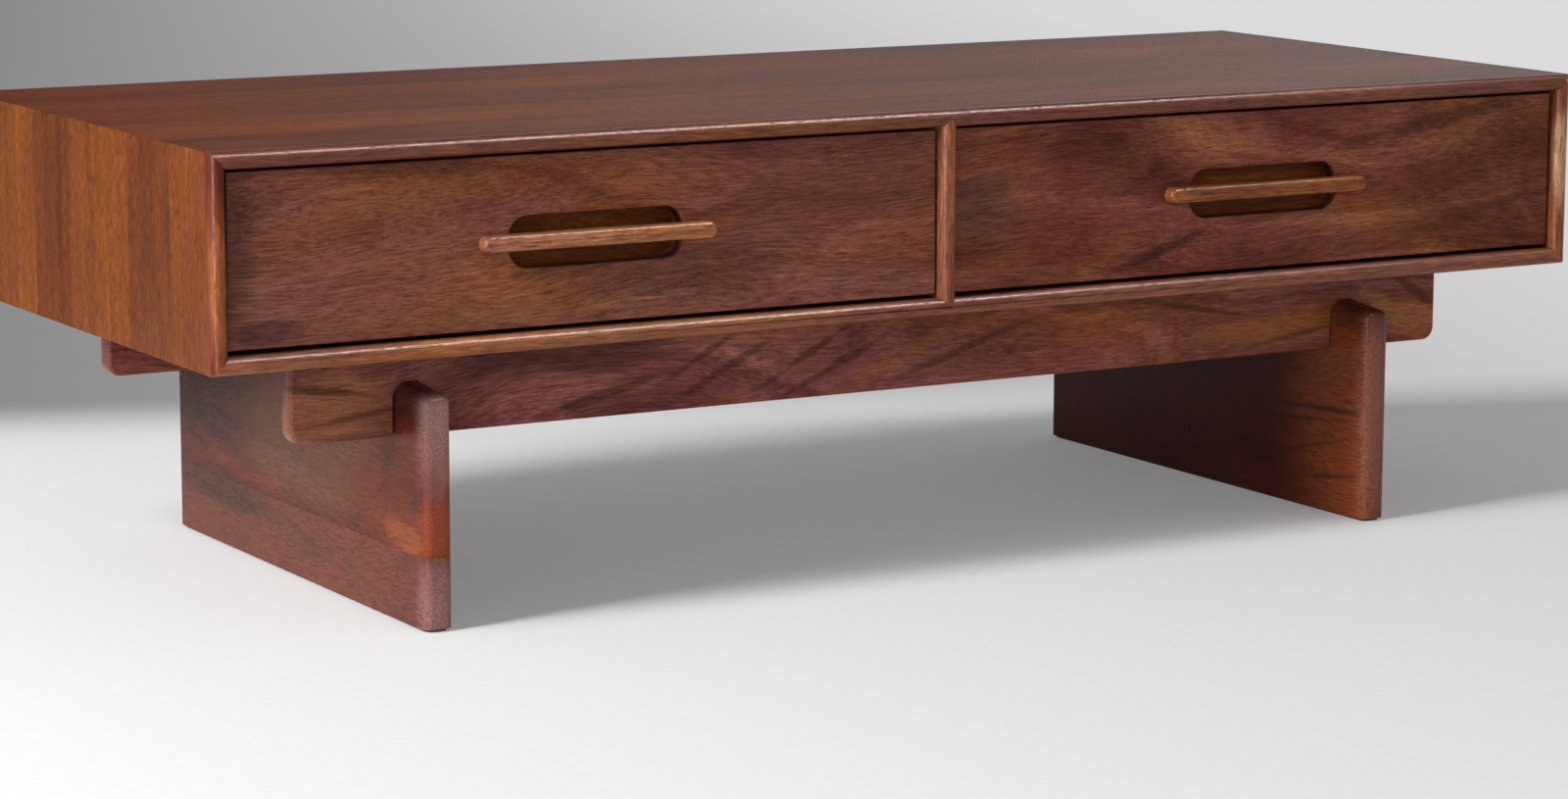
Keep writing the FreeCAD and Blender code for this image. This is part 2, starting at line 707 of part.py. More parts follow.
def drawer(side, low, high):
    """One drawer: its box, bottom, front and handle, and the runners that carry it."""
    centre = "((%s) + (%s)) / 2" % (low, high)
    case_screws, box_screws = runner(side, ((low, 1), (high, -1)))
    handle_screws = handle(side, centre)
    left, right = "%s + runner_width" % low, "%s - runner_width" % high
    spans = {"left": (left, "%s + box_wall" % left), "right": ("%s - box_wall" % right, right)}
    tails = {name: dovetailed_side("%s_%s_tails" % (side, name), span) for name, span in spans.items()}
    floor = block(side + "_box_floor",
                  ("%s + box_wall - box_housing" % left, "%s - box_wall + box_housing" % right),
                  ("front_back + box_wall - box_housing", "box_back - box_wall + box_housing"),
                  ("box_floor_bottom", "box_floor_bottom + box_floor"))
    finish(side + "_drawer_bottom", floor)
    screws = []
    for share in FRONT_SCREW_SHARES:
        for rise in FRONT_SCREW_HEIGHT_SHARES:
            point = ("%s + %s * ((%s) - (%s)) / 2" % (centre, share, right, left),
                     "front_back + box_wall + front_screw_head_height",
                     "box_bottom + %s * box_height" % rise)
            length = "front_screw_head_height + box_wall + front_screw_bite"
            screws.append(pan_headed("%s_front_screw_%d" % (side, len(screws)), point, "-y",
                                     "front_screw_radius", "front_screw_head_radius",
                                     "front_screw_head_height", length))
    front_screws = finish(side + "_front_screws", group(side + "_front_screw_set", screws))
    for name, piece in tails.items():
        finish("%s_drawer_%s_side" % (side, name),
               cut("%s_%s_wall" % (side, name), piece, [floor, box_screws]))
    ends = {"box_front": ("front_back", "front_back + box_wall", [front_screws]),
            "box_back": ("box_back - box_wall", "box_back", [])}
    for name, (start, end, tools) in ends.items():
        board = block("%s_%s_board" % (side, name), (left, right), (start, end), ("box_bottom", "box_top"))
        finish("%s_drawer_%s" % (side, name),
               cut("%s_%s" % (side, name), board, [tails["left"], tails["right"], floor] + tools))
    drawer_front(side, low, high, centre, [handle_screws, front_screws])
    return case_screws


def case(screws, bolts):
    """The four mitred boards of the case, its back and its divider, with their joints cut."""
    splines = mitre_splines()
    dowels = divider_dowels()
    back = finish("back_panel", block("back_board", ("-inner_end - back_housing", "inner_end + back_housing"),
                                      ("back_inside", "back_plane"),
                                      ("inner_floor - back_housing", "inner_top + back_housing")))
    joints = {"top_panel": [dowels], "bottom_panel": [dowels, bolts],
              "left_side": [screws], "right_side": [screws]}
    for name, signs in BOARDS.items():
        board = prism(name + "_board", "XZ", mitred_board(*signs), ("front_joint", "back_joint"))
        finish(name, cut(name, board, [splines, back] + joints[name]))
    divider = block("divider_board", ("-half_board", "half_board"), ("front_joint", "back_inside"),
                    ("inner_floor", "inner_top"))
    finish("centre_divider", cut("divider", divider, [dowels, screws]))


def check():
    """Stop if a feature failed or a piece has no sound shape."""
    doc.recompute()
    for item in doc.Objects:
        if "Invalid" in item.State or "Error" in item.State:
            raise RuntimeError("%s did not compute: %s" % (item.Name, item.State))
    for item in parts:
        shape = item.Shape
        if shape.isNull() or not shape.isValid() or not shape.Solids:
            raise RuntimeError("%s has no sound shape" % item.Label)


def write():
    """Write each piece to its own file."""
    os.makedirs("parts", exist_ok=True)
    for item in parts:
        item.Shape.exportStep(os.path.join("parts", item.Label + ".step"))
    print("%d pieces, %d solids" % (len(parts), sum(len(item.Shape.Solids) for item in parts)))


fill_sheet()
runner_screws = drawer("left", "-inner_end", "-half_board") + drawer("right", "half_board", "inner_end")
runner_screws = finish("case_runner_screws", group("case_runner_screw_set", runner_screws))
bolts, sockets = case_bolts()
laps = lap_screws()
case(runner_screws, bolts)
lippings()
for leg_name, leg_sign in (("left_leg", -1), ("right_leg", 1)):
    leg(leg_name, leg_sign, laps)
for rail_name, rail_sign in (("front_rail", -1), ("rear_rail", 1)):
    rail(rail_name, rail_sign, [sockets, laps])
check()
write()
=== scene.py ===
"""A storage coffee table in stained wood: its finishes, and the pieces that are shaped by hand.

The construction model gives every piece its size and place. This script replaces the pieces whose
rounded edges and joints show with finely modelled ones, dresses all of them, and sets up the studio.
Lengths are metres, as in the frame, and MM turns a size in millimetres into them.
"""

import logging
import math
from dataclasses import dataclass, replace
from enum import Enum
from typing import Any, Callable, Sequence

import bmesh
import bpy
from mathutils import Matrix, Vector

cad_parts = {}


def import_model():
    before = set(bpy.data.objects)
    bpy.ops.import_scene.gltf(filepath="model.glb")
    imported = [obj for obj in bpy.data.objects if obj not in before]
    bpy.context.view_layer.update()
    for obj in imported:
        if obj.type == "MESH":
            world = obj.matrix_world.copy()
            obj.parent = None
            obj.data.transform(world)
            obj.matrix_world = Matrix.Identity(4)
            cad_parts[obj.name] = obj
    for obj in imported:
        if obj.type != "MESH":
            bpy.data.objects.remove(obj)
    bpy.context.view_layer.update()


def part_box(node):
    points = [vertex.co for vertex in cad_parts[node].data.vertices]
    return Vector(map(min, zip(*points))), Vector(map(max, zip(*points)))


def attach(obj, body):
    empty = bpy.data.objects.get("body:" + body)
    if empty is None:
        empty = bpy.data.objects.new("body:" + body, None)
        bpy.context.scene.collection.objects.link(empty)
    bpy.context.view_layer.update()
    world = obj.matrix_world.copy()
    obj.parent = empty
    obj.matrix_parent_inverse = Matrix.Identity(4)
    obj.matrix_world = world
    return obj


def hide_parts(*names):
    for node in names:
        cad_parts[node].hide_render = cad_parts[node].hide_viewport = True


MM = 0.001
log = logging.getLogger("coffee_table")

Edge = bmesh.types.BMEdge
Face = bmesh.types.BMFace
Material = bpy.types.Material
Socket = bpy.types.NodeSocket
Tree = bpy.types.NodeTree
Stops = Sequence[tuple[float, str]]
Test = Callable[[Any], bool]


def linear(colour: str) -> tuple[float, float, float, float]:
    """Turn an sRGB hex colour into the linear colour that the shaders take.

    Args:
        colour: A colour such as "#7a4a38".

    Returns:
        The linear red, green, blue and an alpha of 1.
    """
    parts = [int(colour[place:place + 2], 16) / 255 for place in (1, 3, 5)]
    low = [part / 12.92 if part <= 0.04045 else ((part + 0.055) / 1.055) ** 2.4 for part in parts]
    return low[0], low[1], low[2], 1.0


def add_node(tree: Tree, kind: str, inputs: dict[Any, Any] | None = None, stops: Stops = (),
             **settings: Any) -> bpy.types.Node:
    """Add a shader node with its settings, values and links.

    Args:
        tree: The node tree that it joins.
        kind: The node's type, without the word ShaderNode.
        inputs: A value, or an output to link, for each input by name or number.
        stops: Places and hex colours, for a node that holds a colour ramp.
        settings: Other properties of the node.

    Returns:
        The new node.
    """
    made = tree.nodes.new("ShaderNode" + kind)
    for name, value in settings.items():
        setattr(made, name, value)
    for name, value in (inputs or {}).items():
        if isinstance(value, Socket):
            tree.links.new(value, made.inputs[name])
        else:
            made.inputs[name].default_value = value
    for number, (place, colour) in enumerate(stops):
        elements = made.color_ramp.elements
        stop = elements[number] if number < 2 else elements.new(place)
        stop.position, stop.color = place, linear(colour)
    return made


def new_material(name: str) -> tuple[Material, Tree]:
    """Make an empty node material.

    Args:
        name: The material's name.

    Returns:
        The material and its cleared node tree.
    """
    made = bpy.data.materials.new(name)
    made.use_nodes = True
    made.node_tree.nodes.clear()
    return made, made.node_tree


class Grain(Enum):
    """The way that a board's fibres run, as the turn in degrees that lays them along X."""

    ALONG_X = (0.0, 0.0, 0.0)
    ALONG_Y = (0.0, 0.0, -90.0)
    ALONG_Z = (0.0, 90.0, 0.0)


@dataclass(frozen=True)
class Staves:
    """How a wide board is glued up: across which axis, where each stave starts, and its tint.

    The parts of its tint, times the shifts in metres, also say how far each stave's figure is moved.
    """

    axis: int
    span_mm: tuple[float, float]
    starts_mm: tuple[float, ...]
    tints: tuple[str, ...]
    shifts: tuple[float, float, float] = (9.0, 0.31, 0.17)

    def stops(self) -> Stops:
        """Give each stave's start as a share of the span, with its tint."""
        low, high = self.span_mm
        places = [(start - low) / (high - low) for start in self.starts_mm]
        return list(zip(places, self.tints))


@dataclass(frozen=True)
class Mark:
    """A soft patch of another shade on a board: a streak of sapwood, the wood by a knot, or painted light and
    shade.

    It is an ellipsoid turned by some degrees, with its half axes in millimetres. Where heights are given,
    glue lines cut it off there. The more ragged it is, the further its edge runs out along the fibres.
    """

    centre_mm: tuple[float, float, float]
    size_mm: tuple[float, float, float]
    shade: str
    turn: tuple[float, float, float] = (0.0, 0.0, 0.0)
    strength: float = 0.8
    heights_mm: tuple[float, float] | None = None
    ragged: float = 1.6


@dataclass(frozen=True)
class Cut:
    """Where in the log a board was sawn from, which settles the figure that it shows."""

    name: str
    grain: Grain = Grain.ALONG_X
    heart_mm: tuple[float, float] = (60.0, -40.0)
    along_mm: float = 0.0
    tint: str = "#ffffff"
    sweep: float = 0.0
    staves: Staves | None = None
    marks: tuple[Mark, ...] = ()


@dataclass(frozen=True)
class SatinWood:
    """Acacia, planed, wiped with red brown stain and sprayed with satin lacquer.

    The stain sinks into the soft growth bands and the open pores, so both read darker, and it turns
    from mauve to golden brown as the heartwood changes. The lacquer lays an even sheen over them.
    A pattern's pair of sizes is how long its marks are along the grain and how wide across it. Real pores
    are finer than these, which are drawn as coarse as they need to show.
    """

    name: str
    shades: tuple[str, str, str, str] = ("#3c211a", "#5a3226", "#74442f", "#8f5a3a")
    shade_steps: tuple[float, float, float, float] = (-0.2, -0.06, 0.06, 0.2)
    hues: tuple[str, str, str] = ("#dcbcc8", "#f4e2d8", "#ffe2a4")
    hue_steps: tuple[float, float, float] = (0.36, 0.5, 0.64)
    hue_mm: tuple[float, float] = (420.0, 90.0)
    band_mm: float = 11.0
    band_share: float = 0.42
    fibre_mm: tuple[float, float] = (250.0, 2.2)
    fibre_share: float = 0.32
    cloud_mm: tuple[float, float] = (280.0, 70.0)
    cloud_share: float = 0.45
    bend_mm: tuple[float, float] = (460.0, 150.0)
    wander_mm: float = 26.0
    wave_mm: tuple[float, float] = (110.0, 60.0)
    wave_share: float = 0.16
    fringe_mm: tuple[float, float] = (90.0, 14.0)
    mark_edge: tuple[float, float] = (0.4, 1.3)
    hair_mm: tuple[float, float] = (18.0, 1.3)
    hair_steps: tuple[float, float] = (0.3, 0.7)
    hair_contrast: float = 0.42
    hair_relief: float = 0.8
    pore: str = "#2c1711"
    pore_mm: tuple[float, float] = (5.0, 0.7)
    pore_steps: tuple[float, float] = (0.31, 0.41)
    pore_share: float = 0.5
    pore_depth_mm: float = 0.12
    pore_dullness: float = 0.18
    relief: float = 0.4
    roughness: float = 0.3
    sheen: float = 0.07
    gloss: str = "#ffffff"

    def material(self, cut: Cut) -> Material:
        """Make the material of one board.

        Args:
            cut: Where the board comes from.

        Returns:
            The material.
        """
        made, tree = new_material(f"{self.name}_{cut.name}")
        place = add_node(tree, "TexCoord").outputs["Object"]
        turn = tuple(math.radians(angle) for angle in cut.grain.value)
        heart = (cut.along_mm * MM, -cut.heart_mm[0] * MM, -cut.heart_mm[1] * MM)
        laid = add_node(tree, "Mapping", {"Vector": place, "Rotation": turn, "Location": heart}).outputs[0]
        tints = [linear(cut.tint)]
        if cut.staves:
            tint, shift = self._staves(tree, cut.staves, place)
            tints.append(tint)
            laid = add_node(tree, "VectorMath", {0: laid, 1: shift}, operation="ADD").outputs[0]
        bent = self._wander(tree, laid)
        colour = self._stain(tree, bent, cut.sweep, tints)
        if cut.marks:
            colour = self._marks(tree, cut.marks, place, bent, colour)
        shader = self._lacquer(tree, bent, colour)
        add_node(tree, "OutputMaterial", {"Surface": shader.outputs[0]})
        return made

    def _stain(self, tree: Tree, bent: Socket, sweep: float, tints: list[Any]) -> Socket:
        """Draw the growth bands, fibres and clouds in the stained shades.

        Args:
            tree: The node tree.
            bent: The bent place, with the grain along X.
            sweep: How far the clouds and hues slant from the grain, in degrees.
            tints: Colours, or outputs that give one, that go over all of it.

        Returns:
            The colour.
        """
        slant = (0.0, math.radians(sweep), math.radians(sweep))
        swept = add_node(tree, "Mapping", {"Vector": bent, "Rotation": slant}).outputs[0]
        parts = ((self._bands(tree, bent), self.band_share),
                 (self._noise(tree, bent, self.fibre_mm, 3.0), self.fibre_share),
                 (self._noise(tree, swept, self.cloud_mm, 4.0), self.cloud_share))
        figure = 0.0
        for part, share in parts:
            figure = add_node(tree, "Math", {0: part, 1: share, 2: figure},
                              operation="MULTIPLY_ADD").outputs[0]
        middle = sum(share for _, share in parts) / 2
        steps = [middle + step for step in self.shade_steps]
        colour = add_node(tree, "ValToRGB", {0: figure}, stops=list(zip(steps, self.shades))).outputs[0]
        hue = add_node(tree, "ValToRGB", {0: self._noise(tree, swept, self.hue_mm, 2.0)},
                       stops=list(zip(self.hue_steps, self.hues))).outputs[0]
        for tint in (*tints, hue):
            colour = add_node(tree, "Mix", {0: 1.0, 6: colour, 7: tint}, data_type="RGBA",
                              blend_type="MULTIPLY").outputs[2]
        return colour

    def _marks(self, tree: Tree, marks: tuple[Mark, ...], place: Socket, bent: Socket,
               colour: Socket) -> Socket:
        """Lay soft patches over the wood, each over the one before.

        Args:
            tree: The node tree.
            marks: The patches.
            place: The place on the table.
            bent: The bent place, with the grain along X.
            colour: The wood's colour so far.

        Returns:
            The colour with the patches.
        """
        fringe = self._noise(tree, bent, self.fringe_mm, 4.0)
        rise = add_node(tree, "SeparateXYZ", {0: place}).outputs["Z"]
        for mark in marks:
            turn = tuple(math.radians(angle) for angle in mark.turn)
            centre = tuple(part * MM for part in mark.centre_mm)
            size = tuple(part * MM for part in mark.size_mm)
            local = add_node(tree, "Mapping", {"Vector": place, "Location": centre, "Rotation": turn,
                                               "Scale": size}, vector_type="TEXTURE").outputs[0]
            reach = add_node(tree, "VectorMath", {0: local}, operation="LENGTH").outputs["Value"]
            reach = add_node(tree, "Math", {0: fringe, 1: mark.ragged, 2: reach},
                             operation="MULTIPLY_ADD").outputs[0]
            full, end = (edge + mark.ragged / 2 for edge in self.mark_edge)
            cover = add_node(tree, "MapRange", {0: reach, 1: end, 2: full, 3: 0.0, 4: mark.strength},
                             interpolation_type="SMOOTHSTEP").outputs[0]
            for height, test in zip(mark.heights_mm or (), ("GREATER_THAN", "LESS_THAN")):
                inside = add_node(tree, "Math", {0: rise, 1: height * MM}, operation=test).outputs[0]
                cover = add_node(tree, "Math", {0: cover, 1: inside}, operation="MULTIPLY").outputs[0]
            colour = add_node(tree, "Mix", {0: cover, 6: colour, 7: linear(mark.shade)},
                              data_type="RGBA").outputs[2]
        return colour

    def _lacquer(self, tree: Tree, bent: Socket, colour: Socket) -> bpy.types.Node:
        """Draw the finest fibres and the open pores, and lay the lacquer over them.

        Args:
            tree: The node tree.
            bent: The bent place, with the grain along X.
            colour: The wood's colour.

        Returns:
            The shader.
        """
        hair = self._noise(tree, bent, self.hair_mm, 2.0)
        light = add_node(tree, "MapRange", {0: hair, 1: self.hair_steps[0], 2: self.hair_steps[1],
                                            3: 1 - self.hair_contrast, 4: 1 + self.hair_contrast}).outputs[0]
        colour = add_node(tree, "VectorMath", {0: colour, "Scale": light}, operation="SCALE").outputs[0]
        closed = add_node(tree, "MapRange", {0: self._noise(tree, bent, self.pore_mm, 1.0),
                                             1: self.pore_steps[0], 2: self.pore_steps[1]}).outputs[0]
        dark = add_node(tree, "MapRange", {0: closed, 3: self.pore_share, 4: 0.0}).outputs[0]
        colour = add_node(tree, "Mix", {0: dark, 6: colour, 7: linear(self.pore)},
                          data_type="RGBA").outputs[2]
        dull = add_node(tree, "MapRange", {0: closed, 3: self.roughness + self.pore_dullness,
                                           4: self.roughness}).outputs[0]
        height = add_node(tree, "Math", {0: hair, 1: self.hair_relief, 2: closed},
                          operation="MULTIPLY_ADD").outputs[0]
        bump = add_node(tree, "Bump", {"Height": height, "Strength": self.relief,
                                       "Distance": self.pore_depth_mm * MM}).outputs[0]
        return add_node(tree, "BsdfPrincipled", {"Base Color": colour, "Roughness": dull, "Normal": bump,
                                                 "Specular IOR Level": self.sheen,
                                                 "Specular Tint": linear(self.gloss)})

    def _scaled(self, tree: Tree, place: Socket, size_mm: tuple[float, float]) -> Socket:
        """Scale a place so that a noise has marks of one size along the grain and another across it.

        Args:
            tree: The node tree.
            place: The place, with the grain along X.
            size_mm: How long and how wide the marks are.

        Returns:
            The scaled place.
        """
        along, across = (1 / (size * MM) for size in size_mm)
        return add_node(tree, "VectorMath", {0: place, 1: (along, across, across)},
                        operation="MULTIPLY").outputs[0]

    def _noise(self, tree: Tree, place: Socket, size_mm: tuple[float, float], detail: float) -> Socket:
        """Draw a noise that is longer along the grain than across it.

        Args:
            tree: The node tree.
            place: The place, with the grain along X.
            size_mm: How long and how wide its marks are.
            detail: How many finer layers there are.

        Returns:
            The noise, about 0.5.
        """
        return add_node(tree, "TexNoise", {"Vector": self._scaled(tree, place, size_mm), "Scale": 1.0,
                                           "Detail": detail, "Roughness": 0.55}).outputs["Fac"]

    def _staves(self, tree: Tree, staves: Staves, place: Socket) -> tuple[Socket, Socket]:
        """Tint each stave, and shift its figure so that it doesn't run on across the glue line.

        Args:
            tree: The node tree.
            staves: The glue lines and tints.
            place: The place on the table.

        Returns:
            The tint, and the shift of the texture.
        """
        axis = add_node(tree, "SeparateXYZ", {0: place}).outputs[staves.axis]
        low, high = (edge * MM for edge in staves.span_mm)
        across = add_node(tree, "MapRange", {0: axis, 1: low, 2: high}).outputs[0]
        ramp = add_node(tree, "ValToRGB", {0: across}, stops=staves.stops())
        ramp.color_ramp.interpolation = "CONSTANT"
        shift = add_node(tree, "VectorMath", {0: ramp.outputs[0], 1: staves.shifts},
                         operation="MULTIPLY").outputs[0]
        return ramp.outputs[0], shift

    def _wander(self, tree: Tree, place: Socket) -> Socket:
        """Bend the fibres, in long sweeps and in small waves round the places of old branches.

        Args:
            tree: The node tree.
            place: The place, with the grain along X.

        Returns:
            The bent place.
        """
        waves = ((self.bend_mm, self.wander_mm), (self.wave_mm, self.wander_mm * self.wave_share))
        for size_mm, reach_mm in waves:
            noise = add_node(tree, "TexNoise", {"Vector": self._scaled(tree, place, size_mm), "Scale": 1.0,
                                                "Detail": 1.0}).outputs["Color"]
            centred = add_node(tree, "VectorMath", {0: noise, 1: (0.5, 0.5, 0.5)},
                               operation="SUBTRACT").outputs[0]
            reach = 2 * reach_mm * MM
            place = add_node(tree, "VectorMath", {0: centred, 1: (0.0, reach, reach), 2: place},
                             operation="MULTIPLY_ADD").outputs[0]
        return place

    def _bands(self, tree: Tree, place: Socket) -> Socket:
        """Draw the growth bands as shells round the heart, uneven in width and depth.

        Args:
            tree: The node tree.
            place: The bent place, with the heart along X.

        Returns:
            How light the band is.
        """
        flat = add_node(tree, "VectorMath", {0: place, 1: (0.0, 1.0, 1.0)}, operation="MULTIPLY").outputs[0]
        radius = add_node(tree, "VectorMath", {0: flat}, operation="LENGTH").outputs["Value"]
        return add_node(tree, "TexNoise", {"W": radius, "Scale": 1 / (self.band_mm * MM), "Detail": 3.0,
                                           "Roughness": 0.6}, noise_dimensions="1D").outputs["Fac"]


@dataclass(frozen=True)
class RolledMetal:
    """Metal that was rolled, drawn or turned, with fine lines along the way that it was worked.

    Zinc plate gives a cool grey with a soft sheen, balls a clear mirror, and brass a warm one. Lines and
    clouds are counted over a metre, and the roughness runs between two shares of its own value.
    """

    name: str
    colour: str
    roughness: float
    lines_across: float = 2500.0
    lines_along: float = 6.0
    clouds: float = 60.0
    mottle: float = 0.12
    rough_shares: tuple[float, float] = (0.8, 1.25)
    line_depth_mm: float = 0.05
    relief: float = 0.15

    def material(self) -> Material:
        """Make the metal's material.

        Returns:
            The material.
        """
        made, tree = new_material(self.name)
        place = add_node(tree, "TexCoord").outputs["Object"]
        drawn = add_node(tree, "VectorMath", {0: place, 1: (self.lines_across, self.lines_along,
                                                            self.lines_across)},
                         operation="MULTIPLY").outputs[0]
        lines = add_node(tree, "TexNoise", {"Vector": drawn, "Scale": 1.0, "Detail": 2.0}).outputs["Fac"]
        cloud = add_node(tree, "TexNoise", {"Vector": place, "Scale": self.clouds,
                                            "Detail": 3.0}).outputs["Fac"]
        bright = linear(self.colour)
        dark = tuple(part * (1 - self.mottle) for part in bright[:3]) + (1.0,)
        colour = add_node(tree, "Mix", {0: cloud, 6: dark, 7: bright}, data_type="RGBA").outputs[2]
        low, high = (self.roughness * share for share in self.rough_shares)
        rough = add_node(tree, "MapRange", {0: lines, 3: low, 4: high}).outputs[0]
        bump = add_node(tree, "Bump", {"Height": lines, "Strength": self.relief,
                                       "Distance": self.line_depth_mm * MM}).outputs[0]
        shader = add_node(tree, "BsdfPrincipled", {"Base Color": colour, "Roughness": rough, "Normal": bump,
                                                   "Metallic": 1.0})
        add_node(tree, "OutputMaterial", {"Surface": shader.outputs[0]})
        return made


@dataclass(frozen=True)
class BlackRubber:
    """Solid synthetic rubber strip, pressed in a mould, matt, with a fine leathery grain."""

    name: str = "black_rubber"
    colours: tuple[str, str] = ("#1b1715", "#2b2623")
    grain_mm: float = 0.5
    grain_depth_mm: float = 0.1
    relief: float = 0.3
    roughness: float = 0.78

    def material(self) -> Material:
        """Make the rubber's material.

        Returns:
            The material.
        """
        made, tree = new_material(self.name)
        place = add_node(tree, "TexCoord").outputs["Object"]
        cells = add_node(tree, "TexNoise", {"Vector": place, "Scale": 1 / (self.grain_mm * MM),
                                            "Detail": 2.0}).outputs["Fac"]
        dark, pale = (linear(colour) for colour in self.colours)
        colour = add_node(tree, "Mix", {0: cells, 6: dark, 7: pale}, data_type="RGBA").outputs[2]
        bump = add_node(tree, "Bump", {"Height": cells, "Strength": self.relief,
                                       "Distance": self.grain_depth_mm * MM}).outputs[0]
        shader = add_node(tree, "BsdfPrincipled", {"Base Color": colour, "Roughness": self.roughness,
                                                   "Normal": bump})
        add_node(tree, "OutputMaterial", {"Surface": shader.outputs[0]})
        return made


TOP_WOOD = SatinWood("top_wood", ("#5b2d0d", "#703713", "#814619", "#945621"), band_mm=8.0,
                     wander_mm=16.0, cloud_share=0.3, hair_contrast=0.45, sheen=0.05)
SIDE_WOOD = SatinWood("side_wood", ("#503016", "#6c4622", "#7f512a", "#916b34"),
                      hues=("#dcc5c3", "#e8dcd3", "#f1e0b3"), band_mm=12.0, band_share=0.3,
                      wander_mm=14.0, hair_mm=(10.0, 1.1), hair_contrast=0.55)
FRONT_WOOD = SatinWood("front_wood", ("#532f2d", "#774e46", "#8b635a", "#a9836f"), band_mm=16.0,
                       wander_mm=34.0)
BASE_WOOD = SatinWood("base_wood", ("#573132", "#774845", "#905d59", "#af7c67"), band_mm=14.0,
                      wander_mm=40.0, cloud_share=0.6, sheen=0.11, roughness=0.27, gloss="#ffdcd2")
LIPPING_WOOD = SatinWood("lipping_wood", ("#653b34", "#895a45", "#9c6c52", "#b68364"), band_mm=6.0,
                         wander_mm=10.0, cloud_share=0.3, hair_contrast=0.5, relief=0.8, sheen=0.25,
                         roughness=0.28, gloss="#ffe0da")
HANDLE_WOOD = SatinWood("handle_wood", ("#7d5342", "#a36f50", "#be8861", "#d9a47d"), band_mm=4.0,
                        wander_mm=5.0, cloud_share=0.2, hair_contrast=0.6, relief=0.8, sheen=0.25,
                        roughness=0.28, gloss="#ffe4dc")
BOX_WOOD = SatinWood("box_wood", ("#4a2d20", "#6b4530", "#805539", "#9a6c48"), band_mm=9.0, roughness=0.5)
PANEL_WOOD = SatinWood("panel_wood", ("#4a2f23", "#664433", "#7a5540", "#8f6a50"), band_mm=14.0,
                       roughness=0.5)
JOINT_WOOD = SatinWood("joint_wood", ("#8f6a45", "#b08a60", "#c29d70", "#d4b184"), roughness=0.6)
RUNNER_STEEL = RolledMetal("runner_steel", "#b9bcc0", 0.34)
SCREW_STEEL = RolledMetal("screw_steel", "#a9abae", 0.28)
BALL_STEEL = RolledMetal("ball_steel", "#d4d6d8", 0.12)
INSERT_BRASS = RolledMetal("insert_brass", "#c09a52", 0.3)


# Where the boards' faces and glue lines are, and how deep a streak reaches, in millimetres
FRONT_FACE_MM = -272
RAIL_FACE_MM = -209
STREAK_DEPTH_MM = 20
LEG_GLUE_MM = 62
LOWER_STAVE_MM = (-10, LEG_GLUE_MM)
UPPER_STAVE_MM = (LEG_GLUE_MM, 400)


def streaks(face_mm: float, *rows: tuple[float, float, float, float, float, float, str]) -> tuple[Mark, ...]:
    """Lay streaks on an upright face of the front.

    Args:
        face_mm: The face's place along Y.
        rows: Each streak's place along X and Z, its half length and half width, its slant in degrees, its
            strength and its shade.

    Returns:
        The streaks.
    """
    return tuple(Mark((x, face_mm, z), (length, STREAK_DEPTH_MM, width), shade, (0, slant, 0), strength)
                 for x, z, length, width, slant, strength, shade in rows)


# The streaks and patches of the boards that show most, some of them painted light and shade
LEFT_FRONT_MARKS = streaks(
    FRONT_FACE_MM,
    (-500, 362, 95, 14, -4, 0.5, "#80522f"),
    (-520, 325, 120, 34, 0, 0.45, "#7a4a32"),
    (-430, 264, 150, 12, 0, 0.5, "#82542f"),
    (-120, 350, 90, 22, 0, 0.4, "#7a4a30"),
    (-634, 262, 28, 13, 0, 0.6, "#472630"),
    (-520, 388, 120, 9, 0, 0.55, "#4a2a21"),
    (-668, 330, 26, 90, 0, 0.65, "#442521"),
    (-280, 290, 110, 24, 0, 0.5, "#54322e"),
)
RIGHT_FRONT_MARKS = streaks(
    FRONT_FACE_MM,
    (190, 352, 80, 16, -30, 0.5, "#6e3f2c"),
    (170, 272, 70, 11, -26, 0.55, "#7c482a"),
    (70, 274, 48, 10, -8, 0.6, "#7c442b"),
    (560, 325, 90, 14, -14, 0.55, "#704026"),
    (440, 264, 85, 9, -10, 0.5, "#704027"),
    (228, 272, 60, 6, -18, 0.7, "#3a1d19"),
    (560, 378, 110, 9, -10, 0.6, "#391e19"),
    (580, 285, 90, 9, -12, 0.5, "#40231d"),
    (35, 320, 38, 32, 0, 0.6, "#50332f"),
# Partly painted shade: darker over the right end, where the light falls off
) + (Mark((600, FRONT_FACE_MM, 320), (110, STREAK_DEPTH_MM, 90), "#502313", strength=0.5, ragged=0.6),)
FRONT_RAIL_MARKS = streaks(
    RAIL_FACE_MM,
    (-545, 186, 60, 36, 0, 0.75, "#956143"),
    (-560, 200, 45, 4, 8, 0.8, "#4a2a1c"),
    (-530, 176, 50, 4, -6, 0.7, "#4e2c1c"),
    (-340, 214, 120, 20, 0, 0.7, "#3f2220"),
    (-300, 176, 70, 5, -14, 0.7, "#432320"),
    (-205, 202, 50, 4, -28, 0.6, "#3c1f1a"),
    (-180, 190, 60, 4, -26, 0.6, "#3c1f1a"),
    (-150, 176, 60, 6, -24, 0.6, "#7d4a34"),
    (-95, 198, 60, 4, -28, 0.6, "#3c1f1a"),
    (-70, 184, 60, 4, -24, 0.6, "#3c1f1a"),
    (-20, 178, 80, 9, -22, 0.65, "#85502f"),
    (70, 190, 80, 4, -16, 0.6, "#40231c"),
    (160, 208, 90, 6, -12, 0.6, "#7a472d"),
    (250, 205, 85, 9, -10, 0.6, "#7e4a2c"),
    (320, 204, 70, 3, 10, 0.7, "#42251a"),
    (400, 180, 100, 14, -4, 0.75, "#8a5228"),
    (420, 172, 60, 3, -8, 0.7, "#4a2c18"),
    (560, 208, 45, 6, 34, 0.75, "#4a2a1a"),
    (535, 188, 45, 9, 34, 0.8, "#91603a"),
    (512, 176, 40, 4, 34, 0.75, "#4c2c1a"),
)
